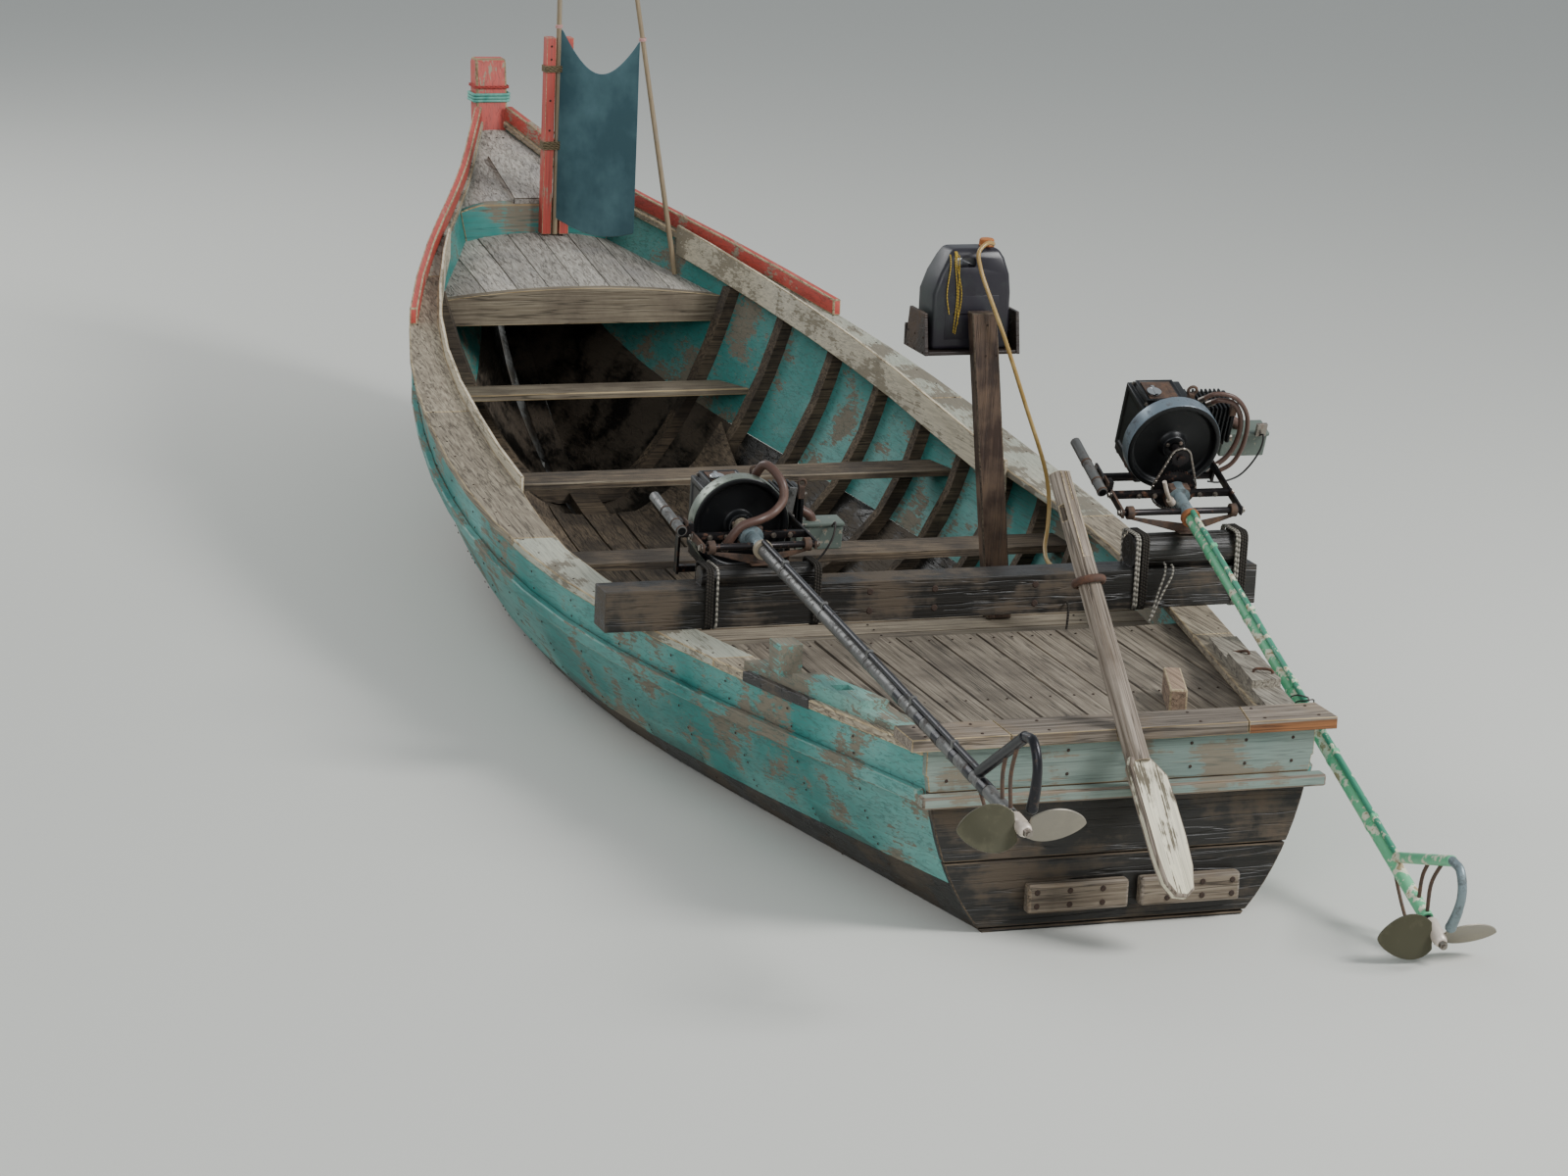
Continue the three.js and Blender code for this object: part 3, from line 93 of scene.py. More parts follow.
class LongtailSizes(bpy.types.PropertyGroup):
    seam: length("Plank seam", 0.005, "Width of the seams between planks")
    worn_edge: length("Worn edge", 0.006, "Width of the worn edges of planks and timbers")
    nail: length("Nail head", 0.011, "Diameter of the nail heads")
    rope: length("Rope", 0.016, "Diameter of the lashings")
    hose: length("Fuel hose", 0.018, "Outer diameter of the fuel hose")


# Hull lines, as in the part: x, half beam, sheer, keel, inner floor above it,
# breadth of floor and bilge as shares of the half beam, and bilge height

STATIONS = (
    (0.0, 0.770, 0.713, -0.220, 0.030, 0.56, 0.94, 0.110),
    (0.9, 0.980, 0.678, -0.262, 0.030, 0.58, 0.93, 0.060),
    (1.8, 1.180, 0.657, -0.290, 0.030, 0.60, 0.93, 0.020),
    (2.7, 1.340, 0.660, -0.300, 0.030, 0.62, 0.94, 0.000),
    (3.6, 1.405, 0.698, -0.300, 0.030, 0.62, 0.94, 0.000),
    (4.5, 1.387, 0.772, -0.298, 0.030, 0.60, 0.93, 0.020),
    (5.4, 1.302, 0.885, -0.285, 0.032, 0.55, 0.90, 0.070),
    (6.3, 1.122, 1.018, -0.240, 0.038, 0.46, 0.84, 0.170),
    (7.2, 0.815, 1.182, -0.120, 0.055, 0.34, 0.75, 0.340),
    (7.8, 0.565, 1.297, 0.075, 0.080, 0.30, 0.72, 0.560),
    (8.3, 0.360, 1.405, 0.350, 0.105, 0.36, 0.74, 0.800),
    (8.7, 0.212, 1.520, 0.705, 0.135, 0.50, 0.78, 1.060),
    (9.0, 0.100, 1.616, 1.105, 0.170, 0.93, 0.96, 1.330),
)
LOFT_X = (0, 0.45, 0.9, 1.35, 1.8, 2.25, 2.7, 3.15, 3.6, 4.05, 4.5, 4.95, 5.4, 5.85, 6.3, 6.75, 7.2,
    7.5, 7.8, 8.05, 8.3, 8.5, 8.7, 8.85, 9.0)
BOTTOM_SHARES = (0, 0.08, 0.16, 0.25, 0.34, 0.42, 0.5, 0.58, 0.66)
SIDE_SHARES = (0.66, 0.74, 0.82, 0.885, 0.925, 1)
HALF_BEAM, SHEER, KEEL, FLAT, BILGE, BILGE_Z = 1, 2, 3, 5, 6, 7
KEEL_SIDE = 0.0623
PLANK = 0.028
CAP_THICK = 0.0363


def hull_line(key, x):
    """Value of a hull line at x, smooth through the stations."""
    i = 0
    while i < len(STATIONS) - 2 and x > STATIONS[i + 1][0]:
        i += 1
    a, b = STATIONS[i], STATIONS[i + 1]
    before, after = STATIONS[max(0, i - 1)], STATIONS[min(len(STATIONS) - 1, i + 2)]
    span = b[0] - a[0]
    t = (x - a[0]) / span
    rise_a = (b[key] - before[key]) / (b[0] - before[0])
    rise_b = (after[key] - a[key]) / (after[0] - a[0])
    return (a[key] * (2 * t**3 - 3 * t**2 + 1) + rise_a * span * (t**3 - 2 * t**2 + t)
        + b[key] * (3 * t**2 - 2 * t**3) + rise_b * span * (t**3 - t**2))


def hull_point(x, share, side):
    """Point and outward normal on the outer hull at x and a share of the section's curve."""
    beam = hull_line(HALF_BEAM, x)
    start = min(KEEL_SIDE + PLANK * max(0, (x - 6.3) / 2), 0.0883)
    keel = hull_line(KEEL, x)
    p = ((start, keel), (max(beam * hull_line(FLAT, x), start), keel + 0.006),
        (beam * hull_line(BILGE, x), hull_line(BILGE_Z, x)), (beam, hull_line(SHEER, x) - CAP_THICK))
    s, t = 1 - share, share
    weights = (s**3, 3 * s * s * t, 3 * s * t * t, t**3)
    y = sum(w * q[0] for w, q in zip(weights, p))
    z = sum(w * q[1] for w, q in zip(weights, p))
    steps = (3 * s * s, 6 * s * t, 3 * t * t)
    dy = sum(d * (p[i + 1][0] - p[i][0]) for i, d in enumerate(steps))
    dz = sum(d * (p[i + 1][1] - p[i][1]) for i, d in enumerate(steps))
    size = math.hypot(dy, dz)
    return Vector((x, side * y, z)), Vector((0, side * dz / size, -dy / size))


def route(points, steps):
    """Smooth line through points, as the part's tubes run, sampled evenly along each stretch."""
    p = [Vector(q) for q in points]
    p = [2 * p[0] - p[1]] + p + [2 * p[-1] - p[-2]]
    out = []
    for i in range(1, len(p) - 2):
        knots = [0.0]
        for a, b in zip(p[i - 1:i + 2], p[i:i + 3]):
            knots.append(knots[-1] + max((b - a).length, 1e-6) ** 0.5)
        for k in range(steps):
            t = knots[1] + (knots[2] - knots[1]) * k / steps
            first = [((knots[j + 1] - t) * p[i - 1 + j] + (t - knots[j]) * p[i + j])
                / (knots[j + 1] - knots[j]) for j in range(3)]
            second = [((knots[j + 2] - t) * first[j] + (t - knots[j]) * first[j + 1])
                / (knots[j + 2] - knots[j]) for j in range(2)]
            out.append(((knots[2] - t) * second[0] + (t - knots[1]) * second[1]) / (knots[2] - knots[1]))
    out.append(p[-2].copy())
    return out


# Modelling steps shared by the pieces

def deselect_all():
    """Leaves edit mode and deselects everything."""
    if bpy.context.mode != "OBJECT":
        bpy.ops.object.mode_set(mode="OBJECT")
    bpy.ops.object.select_all(action="DESELECT")


def take_up(piece):
    """Makes a piece the only selected one."""
    deselect_all()
    piece.select_set(True)
    bpy.context.view_layer.objects.active = piece


def edit(piece, test=None):
    """Opens a piece in edit mode with the faces selected that pass the test, or all of them."""
    take_up(piece)
    mesh = piece.data
    if test is not None:
        for part in (mesh.vertices, mesh.edges):
            part.foreach_set("select", [False] * len(part))
        mesh.polygons.foreach_set("select", [bool(test(f)) for f in mesh.polygons])
    bpy.ops.object.mode_set(mode="EDIT")
    bpy.ops.mesh.select_mode(type="FACE")
    if test is None:
        bpy.ops.mesh.select_all(action="SELECT")


def close_edit():
    """Back to object mode."""
    bpy.ops.object.mode_set(mode="OBJECT")


def settle(piece, place=None):
    """Moves a piece by a matrix and applies it, so its object sits at the origin."""
    if place is not None:
        piece.matrix_world = place @ piece.matrix_world
    take_up(piece)
    bpy.ops.object.transform_apply(location=True, rotation=True, scale=True)
    return piece


def primitive(name):
    """The primitive just added, under its own name."""
    piece = bpy.context.view_layer.objects.active
    piece.name = name
    piece.data.name = name
    return piece


def block(name, low, high):
    """A box between two corners, from the cube primitive."""
    deselect_all()
    low, high = Vector(low), Vector(high)
    bpy.ops.mesh.primitive_cube_add(size=1, location=(low + high) / 2)
    piece = primitive(name)
    piece.scale = high - low
    return settle(piece)


def rod(name, start, end, radius, sides=16, end_radius=None):
    """A round bar between two points, from the cone primitive."""
    deselect_all()
    start, end = Vector(start), Vector(end)
    axis = end - start
    bpy.ops.mesh.primitive_cone_add(vertices=sides, radius1=radius,
        radius2=radius if end_radius is None else end_radius, depth=axis.length)
    piece = primitive(name)
    turn = axis.to_track_quat("Z", "Y").to_matrix().to_4x4()
    piece.matrix_world = Matrix.Translation((start + end) / 2) @ turn
    return settle(piece)


def modify(piece, kind, **settings):
    """Adds a modifier and applies it."""
    take_up(piece)
    modifier = piece.modifiers.new(kind.title(), kind)
    for key, value in settings.items():
        setattr(modifier, key, value)
    bpy.ops.object.modifier_apply(modifier=modifier.name)
    return piece


def wear_edges(piece, width, segments=2, angle=35, edge_material=0):
    """Rounds the sharp edges, with the material that worn edges have."""
    while edge_material and len(piece.data.materials) <= edge_material:
        piece.data.materials.append(None)
    return modify(piece, "BEVEL", width=width, segments=segments, limit_method="ANGLE",
        angle_limit=math.radians(angle), material=edge_material, use_clamp_overlap=True)


def smooth(piece, angle=35):
    """Smooth shading except over sharp edges."""
    take_up(piece)
    bpy.ops.object.shade_smooth_by_angle(angle=math.radians(angle))
    return piece


def shift(piece, x, y, z):
    """Moves a piece's mesh."""
    piece.data.transform(Matrix.Translation((x, y, z)))
    return piece


def worn_block(name, low, high, *wear):
    """A box between two corners with rounded edges."""
    return wear_edges(block(name, low, high), *wear)


def inset(piece, test, *steps, **options):
    """Insets the faces that pass a test, once for each pair of thickness and depth."""
    edit(piece, test)
    for thickness, depth in steps:
        bpy.ops.mesh.inset(thickness=thickness, depth=depth, **options)
    close_edit()
    return piece


def carve(piece, *cutters):
    """Cuts solids out of a piece."""
    for cutter in cutters:
        modify(piece, "BOOLEAN", operation="DIFFERENCE", object=cutter, solver="EXACT")
        bpy.data.objects.remove(cutter)
    return piece


def outline_mesh(name, points, filled=True):
    """A flat ring of vertices at the points, from the circle primitive."""
    deselect_all()
    bpy.ops.mesh.primitive_circle_add(vertices=len(points), radius=1, fill_type="NGON" if filled
        else "NOTHING")
    piece = primitive(name)
    for vertex, point in zip(piece.data.vertices, points):
        vertex.co = point
    return piece


def thicken(piece, move):
    """Pulls a flat outline into a closed solid."""
    edit(piece)
    bpy.ops.mesh.normals_make_consistent(inside=False)
    bpy.ops.mesh.extrude_region_move(TRANSFORM_OT_translate={"value": move})
    bpy.ops.mesh.select_all(action="SELECT")
    bpy.ops.mesh.normals_make_consistent(inside=False)
    close_edit()
    return piece


def mesh_copy(node, name, flatten=True):
    """A merged copy of a CAD node's mesh, with its flat faces joined again."""
    piece = bpy.data.objects.new(name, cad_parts[node].data.copy())
    piece.data.name = name
    piece.data.materials.clear()
    bpy.context.scene.collection.objects.link(piece)
    take_up(piece)
    bpy.ops.mesh.customdata_custom_splitnormals_clear()
    edit(piece)
    bpy.ops.mesh.remove_doubles(threshold=0.00004)
    if flatten:
        bpy.ops.mesh.dissolve_limited(angle_limit=math.radians(0.4))
    bpy.ops.mesh.normals_make_consistent(inside=False)
    close_edit()
    return piece


def faces_up(face):
    """Whether a face is level and looks up."""
    return face.normal.z > 0.9


def joined(name, pieces):
    """One piece from several."""
    deselect_all()
    for piece in pieces:
        piece.select_set(True)
    bpy.context.view_layer.objects.active = pieces[0]
    if len(pieces) > 1:
        bpy.ops.object.join()
    return primitive(name)


def copies(piece, places):
    """The piece at each place of a list of matrices, each with its own mesh, as a list."""
    out = []
    for place in places:
        twin = bpy.data.objects.new(piece.name, piece.data.copy())
        bpy.context.scene.collection.objects.link(twin)
        twin.data.transform(place)
        out.append(twin)
    bpy.data.objects.remove(piece)
    return out


def curve_line(name, points, radius, resolution, taper=None):
    """A curve straight from point to point, with a round section and closed ends."""
    deselect_all()
    curve = bpy.data.curves.new(name, "CURVE")
    curve.dimensions = "3D"
    curve.bevel_depth = radius
    curve.bevel_resolution = resolution
    curve.use_fill_caps = True
    spline = curve.splines.new("POLY")
    spline.points.add(len(points) - 1)
    for k, (point, target) in enumerate(zip(spline.points, points)):
        point.co = (*target, 1)
        point.radius = taper(k / (len(points) - 1)) if taper else 1
    piece = bpy.data.objects.new(name, curve)
    bpy.context.scene.collection.objects.link(piece)
    return piece


def tube(name, points, radius, sides=10, taper=None):
    """A round tube along points, from a curve made a mesh."""
    take_up(curve_line(name, points, radius, max(0, sides // 2 - 2), taper))
    bpy.ops.object.convert(target="MESH")
    piece = primitive(name)
    edit(piece)
    bpy.ops.mesh.remove_doubles(threshold=0.00001)
    bpy.ops.mesh.normals_make_consistent(inside=False)
    close_edit()
    return smooth(piece, 50)


def torus(name, major, minor, steps, sides, **place):
    """A ring of round section."""
    deselect_all()
    bpy.ops.mesh.primitive_torus_add(major_segments=steps, minor_segments=sides,
        major_radius=major, minor_radius=minor, **place)
    return settle(primitive(name))


def around(radius, degrees):
    """Two coordinates at a radius and an angle."""
    angle = math.radians(degrees)
    return radius * math.cos(angle), radius * math.sin(angle)


def upright(points):
    """Points on the centre line's upright plane, from pairs of x and height."""
    return [(x, 0, z) for x, z in points]


def finish_piece(piece, surfaces, stands_for=None, body="boat"):
    """Gives a piece its surfaces and body, and hides the CAD node that it stands for."""
    names = [surfaces] if isinstance(surfaces, str) else surfaces
    faces = piece.data.polygons if piece.type == "MESH" else ()
    painted = [min(face.material_index, len(names) - 1) for face in faces]
    piece.data.materials.clear()
    for name in names:
        piece.data.materials.append(surface(name))
    for face, slot_of_face in zip(faces, painted):
        face.material_index = slot_of_face
    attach(piece, body)
    if stands_for:
        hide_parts(stands_for)
    return piece


def set_tone(piece, value):
    """Lightness of a board against its neighbours, kept on its faces."""
    faces = piece.data.attributes.get("tone") or piece.data.attributes.new("tone", "FLOAT", "FACE")
    faces.data.foreach_set("value", [value] * len(piece.data.polygons))
    return piece


def planes(axis, *places):
    """Sawing planes across an axis."""
    normal = Vector(axis)
    return [(normal * place, normal) for place in places]


def sawn(piece, cuts, gap, name, drop=0.0015):
    """Saws a piece into boards by planes, each a point and a normal, in order along the normals."""
    boards = []
    for k in range(len(cuts) + 1):
        board = bpy.data.objects.new(f"{name}_{k}", piece.data.copy())
        bpy.context.scene.collection.objects.link(board)
        for at, keep_after in ((k - 1, True), (k, False)):
            if not 0 <= at < len(cuts):
                continue
            point, normal = Vector(cuts[at][0]), Vector(cuts[at][1]).normalized()
            edit(board)
            bpy.ops.mesh.bisect(plane_co=point + normal * (gap / 2 if keep_after else -gap / 2),
                plane_no=normal, use_fill=True, clear_inner=keep_after, clear_outer=not keep_after)
            close_edit()
        if not board.data.polygons:
            bpy.data.objects.remove(board)
            continue
        board.data.transform(Matrix.Translation((0, 0, -CHANCE.random() * drop)))
        boards.append(set_tone(board, CHANCE.uniform(-1, 1)))
    bpy.data.objects.remove(piece)
    return joined(name, boards)


# Materials

def add_node(tree, kind, fields=None, values=None, links=None, stops=None):
    """Adds a shader node with its fields, input values, links and ramp stops."""
    node = tree.nodes.new(kind)
    for key, value in (fields or {}).items():
        setattr(node, key, value)
    for key, value in (values or {}).items():
        node.inputs[key].default_value = value
    for key, source in (links or {}).items():
        tree.links.new(source, node.inputs[key])
    if stops:
        ramp = node.color_ramp.elements
        while len(ramp) < len(stops):
            ramp.new(0.5)
        for stop, (at, value) in zip(ramp, stops):
            stop.position = at
            stop.color = (value, value, value, 1) if isinstance(value, (int, float)) else (*value, 1)
    return node


def blank_material(name, roughness, metallic=0.0, ior=1.5, **sockets):
    """A material with its shader and its object coordinates."""
    material = bpy.data.materials.new(name)
    material.use_nodes = True
    tree = material.node_tree
    shader = tree.nodes["Principled BSDF"]
    shader.inputs["Roughness"].default_value = roughness
    shader.inputs["Metallic"].default_value = metallic
    shader.inputs["IOR"].default_value = ior
    for key, value in sockets.items():
        shader.inputs[key.replace("_", " ").title()].default_value = value
    place = add_node(tree, "ShaderNodeTexCoord").outputs["Object"]
    return material, tree, shader, place


def blended(tree, share, a, b, blend="MIX"):
    """Colour b over colour a by a share, each a colour or an output."""
    node = add_node(tree, "ShaderNodeMix", {"data_type": "RGBA", "blend_type": blend})
    for key, source in ((0, share), (6, a), (7, b)):
        if hasattr(source, "is_linked"):
            tree.links.new(source, node.inputs[key])
        else:
            node.inputs[key].default_value = source if isinstance(source, (int, float)) else (*source, 1)
    return node.outputs[2]


def noise(tree, place, scale, detail, rough=0.5, distortion=0.0):
    """Noise over coordinates."""
    values = {"Scale": scale, "Detail": detail, "Roughness": rough, "Distortion": distortion}
    return add_node(tree, "ShaderNodeTexNoise", values=values, links={"Vector": place}).outputs[0]


def mapped(tree, place, **values):
    """Coordinates scaled, turned or moved."""
    values = {key.title(): value for key, value in values.items()}
    return add_node(tree, "ShaderNodeMapping", values=values, links={"Vector": place}).outputs[0]


def ramp(tree, source, *stops):
    """Share that follows a source through stops of place and value."""
    return add_node(tree, "ShaderNodeValToRGB", links={"Fac": source}, stops=stops).outputs[0]


def times(tree, source, factor, plus=None):
    """A source times a factor, plus another source or number."""
    values, links = {1: factor}, {0: source}
    if plus is not None:
        (links if hasattr(plus, "is_linked") else values)[2] = plus
    fields = {"operation": "MULTIPLY" if plus is None else "MULTIPLY_ADD"}
    return add_node(tree, "ShaderNodeMath", fields, values, links).outputs[0]


def bands(tree, place, **values):
    """Wavy bands over coordinates."""
    values = {key.title(): value for key, value in values.items()}
    return add_node(tree, "ShaderNodeTexWave", {"wave_type": "BANDS"}, values, {"Vector": place}).outputs[0]


def drive_socket(tree, shader, socket, share, low, high):
    """Lets a share take a shader's socket from one value to another."""
    value = add_node(tree, "ShaderNodeMapRange", values={"To Min": low, "To Max": high},
        links={"Value": share})
    tree.links.new(value.outputs[0], shader.inputs[socket])


def dim(colour, share):
    """A colour made darker or lighter."""
    return tuple(min(1, c * share) for c in colour)


# Turns of the grain of a plank that runs along an axis

ALONG_X, ALONG_Y, ALONG_Z = (0, 0, 0), (0, 0, math.pi / 2), (0, math.pi / 2, 0)


def plank_patterns(tree, place, turn, coarse=1.0):
    """Grain streaks, cracks and blotches of a sawn plank that runs along x once turned."""
    turned = mapped(tree, place, rotation=turn)
    # Real grain is 2 to 4 mm wide; it is drawn at about 12 mm because that is what the render can show
    streaks = mapped(tree, turned, scale=(2.2, 85 / coarse, 85 / coarse))
    grain = noise(tree, streaks, 1.0, 6.0, 0.65, 0.35)
    splits = mapped(tree, turned, scale=(1.1, 34 / coarse, 34 / coarse), location=(3.7, 1.3, 8.1))
    cracks = ramp(tree, noise(tree, splits, 1.0, 3.0), (0.475, 0), (0.497, 1), (0.503, 1), (0.525, 0))
    return grain, cracks, noise(tree, place, 3.4, 5.0, 0.6)


def board_tone(tree, colour, strength=0.22):
    """Colour made lighter or darker by each board's own tone."""
    tone = add_node(tree, "ShaderNodeAttribute", {"attribute_name": "tone"}).outputs["Fac"]
    links = {"Value": times(tree, tone, strength, 1.0), "Color": colour}
    return add_node(tree, "ShaderNodeHueSaturation", links=links).outputs[0]


def relief(tree, shader, height, strength, distance):
    """Bump from a height."""
    values = {"Strength": strength, "Distance": distance}
    bump = add_node(tree, "ShaderNodeBump", values=values, links={"Height": height}).outputs[0]
    tree.links.new(bump, shader.inputs["Normal"])


def weathered_plank(name, turn, light, dark, stain, coarse=1.0, stain_level=(0.5, 0.72), roughness=0.86):
    """Sawn hardwood left bare: the sun greys it, opens its grain and leaves it dull and dry."""
    material, tree, shader, place = blank_material(name, roughness)
    grain, cracks, blotch = plank_patterns(tree, place, turn, coarse)
    colour = blended(tree, ramp(tree, grain, (0.34, 0), (0.66, 1)), dark, light)
    colour = blended(tree, ramp(tree, blotch, (stain_level[0], 0), (stain_level[1], 0.75)), colour, stain)
    colour = blended(tree, times(tree, cracks, 0.7), colour, dim(dark, 0.35))
    tree.links.new(board_tone(tree, colour), shader.inputs["Base Color"])
    relief(tree, shader, times(tree, cracks, -1.2, grain), 0.55, 0.004)
    return material


def painted_plank(name, turn, coat, chalk, wood, worn=0.42, dirt=(0.1, 0.09, 0.08), coarse=1.0,
        roughness=0.55):
    """Oil paint on sawn planks: it chalks lighter, holds dirt in streaks and flakes off along the grain."""
    material, tree, shader, place = blank_material(name, roughness)
    grain, cracks, blotch = plank_patterns(tree, place, turn, coarse)
    colour = blended(tree, ramp(tree, noise(tree, place, 1.7, 4.0, 0.55), (0.38, 0), (0.68, 1)), coat,
        chalk)
    colour = blended(tree, ramp(tree, grain, (0.3, 0.4), (0.55, 0)), colour, dirt)
    edge = 1.0 - worn * 0.5
    chips = ramp(tree, times(tree, grain, 0.55, blotch), (edge - 0.02, 0), (edge + 0.02, 1))
    colour = blended(tree, chips, colour, blended(tree, grain, dim(wood, 0.45), wood))
    colour = blended(tree, times(tree, cracks, 0.45), colour, dim(coat, 0.3))
    tree.links.new(board_tone(tree, colour, 0.14), shader.inputs["Base Color"])
    drive_socket(tree, shader, "Roughness", chips, roughness, 0.9)
    relief(tree, shader, times(tree, chips, -0.8, grain), 0.4, 0.003)
    return material


def tarred_plank(name, turn, tar, worn_wood, wear=(0.6, 0.74), coarse=1.3, roughness=0.5):
    """Tar brushed over rough planks: a near black film, glossy where thick, that wears to brown wood."""
    material, tree, shader, place = blank_material(name, roughness)
    grain, cracks, blotch = plank_patterns(tree, place, turn, coarse)
    colour = blended(tree, grain, dim(tar, 0.55), dim(tar, 2.1))
    bare = ramp(tree, times(tree, grain, 0.35, blotch), (wear[0], 0), (wear[1], 0.8))
    colour = blended(tree, bare, colour, worn_wood)
    tree.links.new(board_tone(tree, colour, 0.3), shader.inputs["Base Color"])
    drive_socket(tree, shader, "Roughness", bare, roughness - 0.1, 0.92)
    relief(tree, shader, times(tree, cracks, -1.0, grain), 0.6, 0.005)
    return material


def rusted_metal(name, clean, rust, rust_level=(0.5, 0.62), roughness=0.42, metallic=0.75, scale=26.0):
    """Rolled or cast steel handled with oily hands: dark where oiled, brown and rough where it rusts."""
    material, tree, shader, place = blank_material(name, roughness, metallic)
    share = ramp(tree, noise(tree, place, scale, 7.0, 0.68), (rust_level[0], 0), (rust_level[1], 1))
    fine = noise(tree, place, 190.0, 3.0)
    rust_mix = blended(tree, fine, dim(rust, 0.45), dim(rust, 1.5))
    tree.links.new(blended(tree, share, clean, rust_mix), shader.inputs["Base Color"])
    drive_socket(tree, shader, "Roughness", share, roughness, 0.9)
    drive_socket(tree, shader, "Metallic", share, metallic, 0.0)
    relief(tree, shader, fine, 0.25, 0.0012)
    return material


def chipped_enamel(name, coat, light_coat, undercoat, rust, chips=(0.57, 0.6), roughness=0.38, scale=17.0):
    """Enamel brushed on a steel tube: glossy green, knocked off in pale flecks with rust inside them."""
    material, tree, shader, place = blank_material(name, roughness)
    colour = blended(tree, noise(tree, place, 4.5, 3.0), coat, light_coat)
    fleck = noise(tree, place, scale, 6.0, 0.62)
    chipped = ramp(tree, fleck, (chips[0], 0), (chips[1], 1))
    colour = blended(tree, chipped, colour, undercoat)
    colour = blended(tree, ramp(tree, fleck, (chips[1] + 0.045, 0), (chips[1] + 0.08, 0.85)), colour, rust)
    tree.links.new(colour, shader.inputs["Base Color"])
    drive_socket(tree, shader, "Roughness", chipped, roughness, 0.85)
    relief(tree, shader, times(tree, chipped, -1.0), 0.5, 0.0008)
    return material


def speckled_skin(name, base, speck, level=(0.52, 0.66), roughness=0.5, scale=60.0, bump=0.2,
        metallic=0.0, **sockets):
    """Moulded, extruded or cast skin with dust and scuffs: plastic, rubber and propeller metal."""
    material, tree, shader, place = blank_material(name, roughness, metallic, **sockets)
    dust = noise(tree, place, scale, 6.0, 0.7)
    both = times(tree, dust, 0.5, noise(tree, place, scale / 9, 3.0))
    share = ramp(tree, both, (level[0] * 1.5, 0), (level[1] * 1.5, 1))
    tree.links.new(blended(tree, share, base, speck), shader.inputs["Base Color"])
    drive_socket(tree, shader, "Roughness", share, roughness, min(1, roughness + 0.3))
    relief(tree, shader, dust, bump, 0.001)
    return material


def bamboo_culm(name, dark, light, grey):
    """Cut bamboo dried in the sun: long fibres, dull grey brown, darker near its nodes."""
    material, tree, shader, place = blank_material(name, 0.6)
    strands = noise(tree, mapped(tree, place, scale=(160, 160, 3)), 1.0, 4.0)
    colour = blended(tree, strands, dark, light)
    greyed = ramp(tree, noise(tree, place, 6.0, 5.0), (0.5, 0), (0.7, 0.7))
    tree.links.new(blended(tree, greyed, colour, grey), shader.inputs["Base Color"])
    relief(tree, shader, strands, 0.3, 0.001)
    return material


def laid_rope(name, light, dark, strands=420.0):
    """Twisted coir or cotton: fibres in slanted strands, fully matt. Strands are drawn at about 8 mm."""
    material, tree, shader, place = blank_material(name, 0.95)
    slant = mapped(tree, place, rotation=(0.6, 0.5, 0.7))
    twist = bands(tree, slant, scale=strands / 12, distortion=2.0, detail=2.0)
    fuzz = noise(tree, place, 240.0, 3.0)
    colour = blended(tree, 0.35, blended(tree, twist, dark, light), blended(tree, fuzz, dark, light))
    tree.links.new(colour, shader.inputs["Base Color"])
    relief(tree, shader, twist, 0.7, 0.003)
    return material


def woven_cotton(name, base, pale):
    """Plain woven cotton faded by the sun: matt, with a soft sheen at grazing angles.
    Threads are under 1 mm; they are drawn at 6 mm because that is what the render can show."""
    material, tree, shader, place = blank_material(name, 0.9, sheen_weight=0.3, sheen_roughness=0.5)
    uv = add_node(tree, "ShaderNodeTexCoord").outputs["UV"]
    waves = [bands(tree, mapped(tree, uv, rotation=(0, 0, turn)), scale=52.0, distortion=0.6,
        detail=1.0) for turn in (0.0, math.pi / 2)]
    weave = blended(tree, 0.5, *waves)
    share = ramp(tree, noise(tree, place, 2.6, 5.0, 0.6), (0.42, 0), (0.75, 0.6))
    colour = blended(tree, 0.22, blended(tree, share, base, pale), weave, "MULTIPLY")
    tree.links.new(colour, shader.inputs["Base Color"])
    relief(tree, shader, weave, 0.25, 0.001)
    return material


RUDDER_FOOT, RUDDER_HEAD = Vector((-0.098, 0, 0.735)), Vector((0.470, 0.105, 1.590))
RUDDER_TURN = tuple((RUDDER_HEAD - RUDDER_FOOT).rotation_difference(Vector((1, 0, 0))).to_euler())

# Each surface: its maker, its material's name, the turn of its grain, its colours and levels

